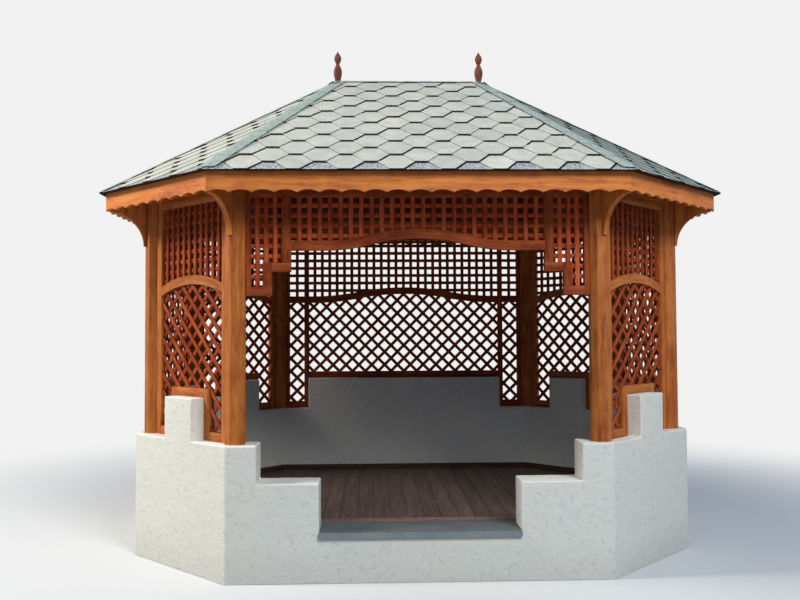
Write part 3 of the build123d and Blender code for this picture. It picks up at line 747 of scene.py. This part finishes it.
# A sheet given its thickness, closed underneath. Its cut edges are marked to show dark, and
# those that face left or right can be paler; on the shingle tabs that is painted light on the
# edges facing the lamp. With dark set, the whole sheet is marked dark, as painted shadow
def sheetNodes(tree, flat, thickness, leftShade=1.0, rightShade=1.0, dark=False):
    thick = addNode(tree, "ExtrudeMesh", {"Mesh": flat, "Offset": (0, 0, 1),
                                          "Offset Scale": thickness, "Individual": False})
    facing = addNode(tree, "SeparateXYZ", {0: addNode(tree, "InputNormal")}).outputs[0]
    left = addNode(tree, "MapRange", {0: facing, 1: -0.5, 2: -0.3, 3: leftShade, 4: 1.0})
    right = addNode(tree, "MapRange", {0: facing, 1: 0.3, 2: 0.5, 3: 1.0, 4: rightShade})
    shown = addNode(tree, "Math", {0: left, 1: right}, operation="MULTIPLY")
    edges = addNode(tree, "Math", {0: thick.outputs["Side"], 1: shown}, operation="MULTIPLY")
    marked = addNode(tree, "StoreNamedAttribute", {"Geometry": thick, "Name": "cutEdge",
                     "Value": 1.0 if dark else edges}, data_type="FLOAT", domain="FACE")
    under = addNode(tree, "FlipFaces", {"Mesh": flat})
    closed = addNode(tree, "JoinGeometry", {0: (under, marked)})
    return addNode(tree, "MergeByDistance", {"Geometry": closed, "Distance": 0.0001})


# Hexagonal tabs in staggered courses, each over a dark sheet of painted shadow that, with the
# black cut edges, shows as a dark line under its foot and its right-hand slant. Cut edges that
# face left are paler, as painted light. On the slopes that look left, the slanted cut edges are
# pale too, as painted light, and only the feet are dark. The right-hand slopes use a darker
# copy of the shingle: painted shade
shingleSettings = {"tabWidth": 0.322, "flatShare": 0.265, "exposure": 0.1315, "reach": 2.08,
                   "thickness": 0.0045, "lineDown": 0.016, "lineAcross": 0.006,
                   "lineThickness": 0.0008, "lineHead": 0.02, "lineReach": 1.3,
                   "tabGap": 0.002, "shoulder": 0.006, "starterReach": 1.25, "spare": 0.1,
                   "overhang": 0.030, "footTrim": 0.003, "deckClear": 0.0005,
                   "frontShift": -0.151, "edges": (0.45, 1.0), "paleEdges": (0.3, 0.3),
                   "paleSlopes": (5, 6, 7), "paintedShadeSlopes": (1, 2, 3), "seed": 7}
shingleTree, given, result = newTree("hexShingles", {
    "Tab Width": 0.333, "Exposure": 0.129, "Thickness": 0.004, "Line Outline": "Object",
    "Line Thickness": 0.0008, "Left Edge": 0.45, "Right Edge": 1.0, "Columns": 14,
    "Courses": 16, "Seed": 7, "Material": "Material"})
tree = shingleTree
total = addNode(tree, "Math", {0: given["Columns"], 1: given["Courses"]}, operation="MULTIPLY")
spots = addNode(tree, "Points", {"Count": total})
number = addNode(tree, "InputIndex")
ratio = addNode(tree, "Math", {0: number, 1: given["Columns"]}, operation="DIVIDE")
course = addNode(tree, "Math", {0: ratio}, operation="FLOOR")
column = addNode(tree, "Math", {0: number, 1: given["Columns"]}, operation="MODULO")
half = addNode(tree, "Math", {0: course, 1: 2.0}, operation="MODULO")
stagger = addNode(tree, "Math", {0: half, 1: 0.5, 2: column}, operation="MULTIPLY_ADD")
middle = addNode(tree, "Math", {0: given["Columns"], 1: 0.5}, operation="MULTIPLY")
centred = addNode(tree, "Math", {0: stagger, 1: middle}, operation="SUBTRACT")
spotX = addNode(tree, "Math", {0: centred, 1: given["Tab Width"]}, operation="MULTIPLY")
spotY = addNode(tree, "Math", {0: course, 1: given["Exposure"]}, operation="MULTIPLY")
laid = addNode(tree, "SetPosition", {"Geometry": spots, "Position": addNode(
    tree, "CombineXYZ", {0: spotX, 1: spotY})})
pitchAngle = addNode(tree, "Math", {0: given["Thickness"], 1: given["Exposure"]},
                     operation="ARCTAN2")
lean = addNode(tree, "RandomValue", {2: 0.92, 3: 1.04, "Seed": given["Seed"]},
               data_type="FLOAT")
leaned = addNode(tree, "Math", {0: pitchAngle, 1: lean}, operation="MULTIPLY")
backwards = addNode(tree, "Math", {0: leaned, 1: -1.0}, operation="MULTIPLY")
tilt = addNode(tree, "CombineXYZ", {0: backwards})
# The drawn tab is the incoming geometry; its foot lies on the dark sheet of painted shadow
raised = addNode(tree, "Transform", {"Geometry": given["Geometry"], "Translation": addNode(
    tree, "CombineXYZ", {2: given["Line Thickness"]})})
lineFlat = addNode(tree, "ObjectInfo", {"Object": given["Line Outline"]}).outputs["Geometry"]
pair = addNode(tree, "JoinGeometry", {0: (
    sheetNodes(tree, raised, given["Thickness"], given["Left Edge"], given["Right Edge"]),
    sheetNodes(tree, lineFlat, given["Line Thickness"], dark=True))})
tabs = addNode(tree, "InstanceOnPoints", {"Points": laid, "Instance": pair, "Rotation": tilt})
shade = addNode(tree, "RandomValue", {2: 0.12, 3: 1.0, "Seed": given["Seed"]},
                data_type="FLOAT")
shaded = addNode(tree, "StoreNamedAttribute", {"Geometry": tabs, "Name": "tone",
                 "Value": shade}, data_type="FLOAT", domain="INSTANCE")
wire(result, {0: addNode(tree, "SetMaterial", {
    "Geometry": addNode(tree, "RealizeInstances", {"Geometry": shaded}),
    "Material": given["Material"]})})


# Half a hexagon below, and a straight body above that the next courses cover
def tabOutlines(pale, s):
    p, e = s["tabWidth"], s["exposure"]
    flat = s["flatShare"] * p / 2
    wide = p / 2 - flat
    side, top, shoulder = (p - s["tabGap"]) / 2, s["reach"] * e, e + s["shoulder"]
    tab = bpy.data.meshes.new("tab")
    tab.from_pydata([(-flat, 0, 0), (flat, 0, 0), (wide, e, 0), (side, shoulder, 0),
                     (side, top, 0), (-side, top, 0), (-side, shoulder, 0), (-wide, e, 0)],
                    [], [range(8)])
    # The dark line sheet: painted shadow under the foot and, except on pale slopes, the
    # right-hand slant
    line = bpy.data.meshes.new("tabLine")
    down, out = s["lineDown"], 0.0 if pale else s["lineAcross"]
    head, far = s["lineHead"], s["lineReach"] * e
    right = (flat + head, head, 0) if pale else (wide + out, e - down, 0)
    line.from_pydata([(-flat, -down, 0), (flat + out, -down, 0), right, (flat, far, 0),
                      (-flat, far, 0), (-flat, head, 0)], [], [range(6)])
    return tab, bpy.data.objects.new("tabLine", line)


# Roof corners: the deck rises from each fascia corner to the nearer ridge end
roofCorners = octagon(plan["eaveOverhang"])
ridgeHalf = (plan["width"] - plan["depth"]) / 2


def hipPoint(index, share):
    top = Vector((math.copysign(ridgeHalf, roofCorners[index].x), 0, 0))
    flat = top + (roofCorners[index] - top) * share
    return Vector((flat.x, flat.y, plan["eaveHeight"] + plan["roofRise"] * (1 - share)))


def trimByPlane(shape, point, normal):
    geometry = shape.verts[:] + shape.edges[:] + shape.faces[:]
    cut = bmesh.ops.bisect_plane(shape, geom=geometry, dist=1e-5, plane_co=point,
                                 plane_no=normal, clear_outer=True)
    edges = [item for item in cut["geom_cut"] if isinstance(item, bmesh.types.BMEdge)]
    bmesh.ops.holes_fill(shape, edges=[edge for edge in edges if edge.is_boundary], sides=0)


# The starter strip under the first course: a wedge with the tabs' own fall
def starterStrip(length, cover, s):
    high, end = 2 * s["thickness"], s["starterReach"] * s["exposure"]
    half, low = length / 2 + s["spare"], high - s["starterReach"] * s["thickness"]
    mesh = bpy.data.meshes.new("starter")
    mesh.from_pydata([(x, y, z) for x in (-half, half)
                      for y, z in ((0, 0), (end, 0), (end, low), (0, high))], [],
                     [(0, 1, 2, 3), (7, 6, 5, 4), (0, 4, 5, 1), (3, 2, 6, 7),
                      (1, 5, 6, 2), (0, 3, 7, 4)])
    giveAttribute(mesh, "cutEdge", "FACE", [1.0, 1.0, 1.0, 0.0, 1.0, 1.0])
    giveAttribute(mesh, "tone", "POINT", [0.0] * 8)
    mesh.materials.append(cover)
    return mesh


def shingleSlope(index, lift, s):
    share, follow = 1 + s["overhang"] / plan["roofRun"], (index + 1) % 8
    low, lowEnd = hipPoint(index, share), hipPoint(follow, share)
    highEnd, high = hipPoint(follow, 0), hipPoint(index, 0)
    pale = index in s["paleSlopes"]
    # The right-hand slopes take the darker copy of the shingle: painted shade
    cover = paintedShadeShingle if index in s["paintedShadeSlopes"] else shingle
    along, middle = (lowEnd - low).normalized(), (low + lowEnd) / 2
    upSlope = highEnd - lowEnd
    upSlope = (upSlope - along * upSlope.dot(along)).normalized()
    normal = along.cross(upSlope)
    rise, length = (highEnd - lowEnd).dot(upSlope), (lowEnd - low).length
    # Pale slopes get pale slanted cut edges, other slopes paler left-facing ones: painted light
    leftEdge, rightEdge = s["paleEdges" if pale else "edges"]
    tab, line = tabOutlines(pale, s)
    courses = grow(tab, shingleTree, {
        "Tab Width": s["tabWidth"], "Exposure": s["exposure"], "Thickness": s["thickness"],
        "Line Outline": line, "Line Thickness": s["lineThickness"],
        "Left Edge": leftEdge, "Right Edge": rightEdge,
        "Columns": 2 * math.ceil(length / s["tabWidth"] / 2) + 4,
        "Courses": math.ceil(rise / s["exposure"]) + 1,
        "Seed": s["seed"] + index, "Material": cover})
    bpy.data.objects.remove(line)
    shift = s["frontShift"] if index == 0 else 0
    courses.transform(Matrix.Translation((shift, 0, 2 * s["thickness"])))
    mesh = joinMeshes("slope", [starterStrip(length, cover, s), courses])
    place = Matrix.Translation(middle + normal * lift) @ Matrix(
        (along, upSlope, normal)).transposed().to_4x4()
    with editing(mesh) as shape:
        bmesh.ops.transform(shape, matrix=place, verts=shape.verts)
        trimByPlane(shape, middle - upSlope * s["footTrim"], -upSlope)
        for near, far, side in ((low, high, -1), (lowEnd, highEnd, 1)):
            edge = far - near
            out = Vector((edge.y, -edge.x, 0)).normalized()
            trimByPlane(shape, near, -out if out.dot(along) * side < 0 else out)
        trimByPlane(shape, highEnd, Vector((-normal.x, -normal.y, 0)).normalized())
    return mesh


deckLift = plan["deckThickness"] * math.cos(math.atan(roofSlope)) + shingleSettings["deckClear"]
makePiece("hexShingleCourses", joinMeshes("hexShingleCourses",
          [shingleSlope(index, deckLift, shingleSettings) for index in range(8)]),
          ["roof_shingles"])
print("stage: shingle courses")

# Hip and ridge caps: folded strips that overlap up the line they cover
capSettings = {"exposure": 0.25, "hipWidth": 0.135, "ridgeWidth": 0.070, "thickness": 0.0022,
               "overlap": 0.3, "lift": 0.0185, "overhang": 0.031, "footInset": 0.045,
               "headShare": 0.01, "edgeShade": 0.12, "seed": 3}
capTree, given, result = newTree("capRuns", {
    "Exposure": 0.145, "Thickness": 0.0035, "Width": 0.110, "Fold": 0.3, "Overlap": 0.3,
    "Seed": 3, "Material": "Material"})
tree = capTree
path = addNode(tree, "MeshToCurve", {"Mesh": given["Geometry"]})
even = addNode(tree, "ResampleCurve", {"Curve": path, "Length": given["Exposure"]},
               mode="LENGTH")
upThere = addNode(tree, "InputNamedAttribute", {"Name": "facing"}, data_type="FLOAT_VECTOR")
turn = addNode(tree, "AxesToRotation", {"Primary Axis": addNode(tree, "InputTangent"),
               "Secondary Axis": upThere}, primary_axis="X", secondary_axis="Z")
length = addNode(tree, "Math", {0: given["Exposure"], 1: given["Overlap"],
                                2: given["Exposure"]}, operation="MULTIPLY_ADD")
sheet = addNode(tree, "MeshGrid", {"Size X": length, "Size Y": given["Width"],
                                   "Vertices X": 2, "Vertices Y": 9})
x, y, z = addNode(tree, "SeparateXYZ", {0: addNode(tree, "InputPosition")}).outputs
squared = addNode(tree, "Math", {0: y, 1: y, 2: 0.0001}, operation="MULTIPLY_ADD")
rooted = addNode(tree, "Math", {0: squared}, operation="SQRT")
folded = addNode(tree, "Math", {0: rooted, 1: given["Fold"]}, operation="MULTIPLY")
halfLength = addNode(tree, "Math", {0: length, 1: 0.5}, operation="MULTIPLY")
fromFoot = addNode(tree, "Math", {0: x, 1: halfLength}, operation="ADD")
slopeDown = addNode(tree, "Math", {0: given["Thickness"], 1: given["Exposure"]},
                    operation="DIVIDE")
settle = addNode(tree, "Math", {0: fromFoot, 1: slopeDown}, operation="MULTIPLY")
settled = addNode(tree, "Math", {0: given["Thickness"], 1: settle}, operation="SUBTRACT")
height = addNode(tree, "Math", {0: settled, 1: folded}, operation="SUBTRACT")
bent = addNode(tree, "SetPosition", {"Geometry": sheet, "Position": addNode(
    tree, "CombineXYZ", {0: fromFoot, 1: y, 2: height})})
shade = capSettings["edgeShade"]
strip = sheetNodes(tree, bent, given["Thickness"], shade, shade)
placed = addNode(tree, "InstanceOnPoints", {"Points": even, "Instance": strip,
                                            "Rotation": turn})
chance = addNode(tree, "RandomValue", {2: 0.3, 3: 0.7, "Seed": given["Seed"]},
                 data_type="FLOAT")
toned = addNode(tree, "StoreNamedAttribute", {"Geometry": placed, "Name": "tone",
                "Value": chance}, data_type="FLOAT", domain="INSTANCE")
wire(result, {0: addNode(tree, "SetMaterial", {
    "Geometry": addNode(tree, "RealizeInstances", {"Geometry": toned}),
    "Material": given["Material"]})})


def capRun(start, end, up, fold, width, s):
    run = end - start
    count = round(run.length / s["exposure"] - s["overlap"])
    exposure = run.length / (count + s["overlap"])
    last = start + run.normalized() * exposure * (count - 1)
    mesh = bpy.data.meshes.new("capLine")
    mesh.from_pydata([start, last], [(0, 1)], [])
    giveAttribute(mesh, "facing", "POINT", [up, up])
    return grow(mesh, capTree, {"Exposure": exposure * 0.9999, "Thickness": s["thickness"],
                                "Width": width, "Fold": fold, "Overlap": s["overlap"],
                                "Seed": s["seed"], "Material": capStrip})


def capMeshes(s):
    meshes = []
    turn = math.radians(22.5)
    lift = Vector((0, 0, plan["deckThickness"] + s["lift"]))
    fold = roofSlope * math.sin(turn) * math.cos(math.atan(roofSlope * math.cos(turn)))
    for index in range(8):
        corner = hipPoint(index, 1 + s["overhang"] / plan["roofRun"])
        foot = hipPoint(index, 1 + s["footInset"] / plan["roofRun"]) + lift
        head = hipPoint(index, s["headShare"]) + lift
        run = head - foot
        flat = Vector((run.x, run.y, 0)).normalized()
        up = Vector((-flat.x * run.z, -flat.y * run.z, math.hypot(run.x, run.y))).normalized()
        mesh = capRun(foot, head, up, fold, s["hipWidth"], s)
        with editing(mesh) as shape:
            for side in (index - 1, index):
                trimByPlane(shape, corner, sideAxes(side % 8)[1])
        meshes.append(mesh)
    meshes.append(capRun(hipPoint(0, 0) + lift, hipPoint(1, 0) + lift, Vector((0, 0, 1)),
                         roofSlope, s["ridgeWidth"], s))
    return meshes


makePiece("hipAndRidgeCaps", joinMeshes("hipAndRidgeCaps", capMeshes(capSettings)),
          ["hip_and_ridge_caps"])
print("stage: hip and ridge caps")

wallSettings = {"arrisRound": 0.009, "gridStep": 0.045, "lumpSize": 0.07, "lumpHeight": 0.006,
                "low": (-2.1, -1.6, 0), "high": (2.1, 1.6, 1.2), "snap": 0.003,
                "sharpAngle": 0.3, "footHeight": 0.01, "seed": 4}
skinTree, given, result = newTree("floatedSkin", {
    "Lump Size": 0.11, "Lump Height": 0.003, "Seed": 4, "Material": "Material"})
tree = skinTree
spot = addNode(tree, "InputPosition")
scale = addNode(tree, "Math", {0: 1.0, 1: given["Lump Size"]}, operation="DIVIDE")
noise = addNode(tree, "TexNoise", {"Vector": spot, "Scale": scale, "W": given["Seed"],
                                   "Detail": 3}, noise_dimensions="4D").outputs["Color"]
centred = addNode(tree, "VectorMath", {0: noise, 1: (0.5, 0.5, 0.5)}, operation="SUBTRACT")
move = addNode(tree, "VectorMath", {0: centred, "Scale": given["Lump Height"]},
               operation="SCALE")
height = addNode(tree, "SeparateXYZ", {0: spot}).outputs[2]
above = addNode(tree, "Compare", {0: height, 1: 0.005}, operation="GREATER_THAN",
                data_type="FLOAT")
moved = addNode(tree, "SetPosition", {"Geometry": given["Geometry"], "Selection": above,
                                      "Offset": move})
wire(result, {0: addNode(tree, "SetMaterial", {"Geometry": moved,
                                               "Material": given["Material"]})})

wallNodes = ["wall_front_left", "wall_front_right", "wall_threshold"] + [
    "wall_" + name for name in sideNames if name != "front"]


# One skin over all the wall blocks, without the faces where they meet
def wallSkin(s):
    blocks = []
    for name in wallNodes:
        block = bpy.data.objects.new(name + "_block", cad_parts[name].data.copy())
        with editing(block.data) as shape:
            bmesh.ops.remove_doubles(shape, verts=shape.verts, dist=1e-5)
        blocks.append(block)
    group = bpy.data.collections.new("wallBlocks")
    for block in blocks[1:]:
        group.objects.link(block)
    bpy.context.scene.collection.children.link(group)
    bpy.context.scene.collection.objects.link(blocks[0])
    union = blocks[0].modifiers.new("union", "BOOLEAN")
    union.operation, union.operand_type, union.solver = "UNION", "COLLECTION", "EXACT"
    union.collection = group
    graph = bpy.context.evaluated_depsgraph_get()
    mesh = bpy.data.meshes.new_from_object(blocks[0].evaluated_get(graph), depsgraph=graph)
    for block in blocks:
        bpy.data.objects.remove(block)
    bpy.data.collections.remove(group)
    with editing(mesh) as shape:
        bmesh.ops.remove_doubles(shape, verts=shape.verts, dist=1e-4)
        bmesh.ops.dissolve_limit(shape, angle_limit=0.01, verts=shape.verts, edges=shape.edges)
        sharp = [edge for edge in shape.edges if len(edge.link_faces) == 2
                 and edge.calc_face_angle(0) > s["sharpAngle"]
                 and max(vertex.co.z for vertex in edge.verts) > s["footHeight"]]
        bmesh.ops.bevel(shape, geom=sharp, offset=s["arrisRound"], segments=2, profile=0.5,
                        affect="EDGES", clamp_overlap=True)
        low, high = Vector(s["low"]), Vector(s["high"])
        for axis in range(3):
            normal = Vector([1.0 if place == axis else 0.0 for place in range(3)])
            spot = low[axis] + s["gridStep"] / 2
            while spot < high[axis]:
                bmesh.ops.bisect_plane(
                    shape, geom=shape.verts[:] + shape.edges[:] + shape.faces[:],
                    dist=s["snap"], plane_co=normal * spot, plane_no=normal)
                spot += s["gridStep"]
    return grow(mesh, skinTree, {"Lump Size": s["lumpSize"], "Lump Height": s["lumpHeight"],
                                 "Seed": s["seed"], "Material": render})


makePiece("renderedWalls", wallSkin(wallSettings), wallNodes)
print("stage: rendered walls")

postSettings = {"arris": 0.003}


def postMesh(index, s):
    centre, flat = postCentres[index], plan["postWidth"] / 2
    radius = flat / math.cos(math.radians(22.5))
    eased = radius * math.cos(s["arris"] / radius) ** 0.5
    ring = []
    for corner in range(8):
        for shift in (-1, 1):
            turned = math.radians(22.5 + 45 * corner) + shift * s["arris"] / radius
            ring.append((math.cos(turned) * eased, math.sin(turned) * eased))
    sections = [[Vector((centre.x + x, centre.y + y, z)) for x, y in ring]
                for z in (plan["lowWall"], plan["beamUnderside"])]
    return loftBar("post", sections, ring, memberTimber, 0.35 + 0.06 * index)


cornerNames = ["front_left", "front_right", "right_front", "right_back",
               "back_right", "back_left", "left_back", "left_front"]
makePiece("octagonalPosts", joinMeshes("octagonalPosts", [postMesh(index, postSettings)
          for index in range(8)]), ["post_" + name for name in cornerNames])


def beamMesh(index):
    inner, outer = octagon(-plan["beamHalf"]), octagon(plan["beamHalf"])
    low, high = Vector((0, 0, plan["beamUnderside"])), Vector((0, 0, plan["beamTop"]))
    width, height = 2 * plan["beamHalf"], plan["beamTop"] - plan["beamUnderside"]
    acrossOf = [(0, 0), (width, 0), (width, height), (0, height)]
    sections = [[inner[place] + low, outer[place] + low, outer[place] + high,
                 inner[place] + high] for place in (index, (index + 1) % 8)]
    return loftBar("beam", sections, acrossOf, memberTimber, 0.2 + 0.08 * index)


makePiece("mitredRingBeam", joinMeshes("mitredRingBeam", [beamMesh(index) for index in range(8)]),
          ["ring_beam"])
print("stage: posts and ring beam")

# Radius in metres at each share of the height
finialSettings = {"height": 0.243, "sunk": 0.045, "seat": 0.036, "turns": 40, "steps": 4,
                  "profile": [
                      (0.0225, 0.0), (0.0250, 0.05), (0.0310, 0.16), (0.0340, 0.28),
                      (0.0305, 0.39), (0.0215, 0.48), (0.0145, 0.545), (0.0165, 0.59),
                      (0.0240, 0.66), (0.0290, 0.74), (0.0255, 0.82), (0.0150, 0.90),
                      (0.0075, 0.94), (0.0045, 0.98)]}


# A smooth curve through the points of a turned profile
def smoothRow(points, steps):
    row = []
    for place in range(len(points) - 1):
        near = points[max(place - 1, 0)], points[place]
        far = points[place + 1], points[min(place + 2, len(points) - 1)]
        for step in range(steps):
            t = step / steps
            row.append([0.5 * (2 * b + (c - a) * t + (2 * a - 5 * b + 4 * c - d) * t ** 2
                               + (3 * b - a - 3 * c + d) * t ** 3)
                        for a, b, c, d in zip(*near, *far)])
    return row + [points[-1]]


def finialMesh(end, s):
    apex = plan["eaveHeight"] + plan["roofRise"] + s["seat"]
    profile = [(0, apex - s["sunk"]), (s["profile"][0][0], apex - s["sunk"])]
    profile += [(radius, apex + share * s["height"])
                for radius, share in smoothRow(s["profile"], s["steps"])]
    profile.append((0, apex + s["height"]))
    angles = [2 * math.pi * step / s["turns"] for step in range(s["turns"])]
    mesh = bpy.data.meshes.new("finial")
    with editing(mesh) as shape:
        rows = [[shape.verts.new((end + radius * math.cos(angle), radius * math.sin(angle), z))
                 for angle in (angles if radius else angles[:1])] for radius, z in profile]
        for near, far in zip(rows, rows[1:]):
            for step in range(s["turns"]):
                follow = (step + 1) % s["turns"]
                if len(near) == 1:
                    shape.faces.new((near[0], far[follow], far[step]))
                elif len(far) == 1:
                    shape.faces.new((near[step], near[follow], far[0]))
                else:
                    shape.faces.new((near[step], near[follow], far[follow], far[step]))
        bmesh.ops.recalc_face_normals(shape, faces=shape.faces)
        for face in shape.faces:
            face.smooth = True
    giveAttribute(mesh, "tone", "POINT", [0.2] * len(mesh.vertices))
    mesh.materials.append(timber["darkTurnedTimber"])
    return mesh


makePiece("turnedFinials", joinMeshes("turnedFinials", [finialMesh(-ridgeHalf, finialSettings),
          finialMesh(ridgeHalf, finialSettings)]), ["finials"])
print("stage: finials")

# Finishes on the CAD pieces that stay
# The roof's underside takes the darkest copy of the stain: painted shade
roofTimber = timber["shadedRoofTimber"]
finishes = {"fascia_boards": timber["stainedLevelTimber"],
            "eave_brackets": timber["stainedUprightTimber"],
            "hip_rafters": roofTimber, "common_rafters": roofTimber, "ridge_beam": roofTimber,
            "roof_deck": roofTimber, "skirting": timber["darkSkirtingTimber"],
            "floor_boards": floorFinish, "floor_base": slabConcrete, "door_sill": sillStone}
for name, material in finishes.items():
    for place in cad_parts[name].material_slots:
        place.material = material
print("stage: finishes")

lightSettings = {"ambient": 0.36, "ambientColour": "#A4C8F8", "floor": "#D2D2CE",
                 "floorBounce": "#A0A19E", "air": "#F1F2F1", "fadeFrom": 2.8, "fadeTo": 7.0,
                 "floorHalf": 60, "floorDrop": 0.002, "aim": (0, 0, 1.5), "lamps": [
                     ("keyLamp", 1130, "#FFF9F1", (-9.3, -1.6, 7.4), 2.4),
                     ("fillLamp", 785, "#F2F7FF", (3.4, -8.0, 8.0), 3.6)]}


# 1 for rays that show the background: seen directly, in a gloss or through glass
def seenRays(tree):
    path = addNode(tree, "LightPath").outputs
    direct = addNode(tree, "Math", {0: path["Is Camera Ray"], 1: path["Is Glossy Ray"]},
                     operation="MAXIMUM")
    return addNode(tree, "Math", {0: direct, 1: path["Is Transmission Ray"]},
                   operation="MAXIMUM")


# Pale paper that keeps the shadow near the object and fades to the plain background.
# It throws back little light, so the eaves and the room keep their shade
def studioPaper(s):
    material, tree, shader = newMaterial("studioPaper")
    seen = seenRays(tree)
    wire(shader, {"Roughness": 0.95, "Base Color": addNode(
        tree, "Mix", {0: seen, 6: s["floorBounce"], 7: s["floor"]}, data_type="RGBA")})
    place = addNode(tree, "TexCoord").outputs["Object"]
    level = addNode(tree, "VectorMath", {0: place, 1: (1, 1, 0)}, operation="MULTIPLY")
    reach = addNode(tree, "VectorMath", {0: level}, operation="LENGTH")
    fade = addNode(tree, "MapRange", {0: reach, 1: s["fadeFrom"], 2: s["fadeTo"]},
                   interpolation_type="SMOOTHSTEP")
    share = addNode(tree, "Math", {0: fade, 1: seen}, operation="MULTIPLY")
    glow = addNode(tree, "Emission", {"Color": s["air"]})
    wire(tree.nodes["Material Output"], {"Surface": addNode(
        tree, "MixShader", {0: share, 1: shader, 2: glow})})
    return material


def makeStudio(s):
    mesh = bpy.data.meshes.new("studioFloor")
    mesh.from_pydata([(x * s["floorHalf"], y * s["floorHalf"], -s["floorDrop"])
                      for x, y in ((-1, -1), (1, -1), (1, 1), (-1, 1))], [], [(0, 1, 2, 3)])
    mesh.materials.append(studioPaper(s))
    addObject("studioFloor", mesh)
    for name, power, colour, place, size in s["lamps"]:
        data = bpy.data.lights.new(name, "AREA")
        data.energy, data.size, data.color = power, size, toLinear(colour)[:3]
        lamp = addObject(name, data)
        lamp.location = place
        toAim = Vector(s["aim"]) - Vector(place)
        lamp.rotation_euler = toAim.to_track_quat("-Z", "Y").to_euler()
    world = bpy.data.worlds.new("studioAir")
    world.use_nodes = True
    bpy.context.scene.world = world
    air = world.node_tree
    seen = seenRays(air)
    wire(air.nodes["Background"], {
        "Strength": addNode(air, "MapRange", {0: seen, 3: s["ambient"], 4: 1.0}),
        "Color": addNode(air, "Mix", {0: seen, 6: s["ambientColour"], 7: s["air"]},
                         data_type="RGBA")})


makeStudio(lightSettings)
bpy.context.scene.view_settings.view_transform = "Standard"
print("stage: studio")
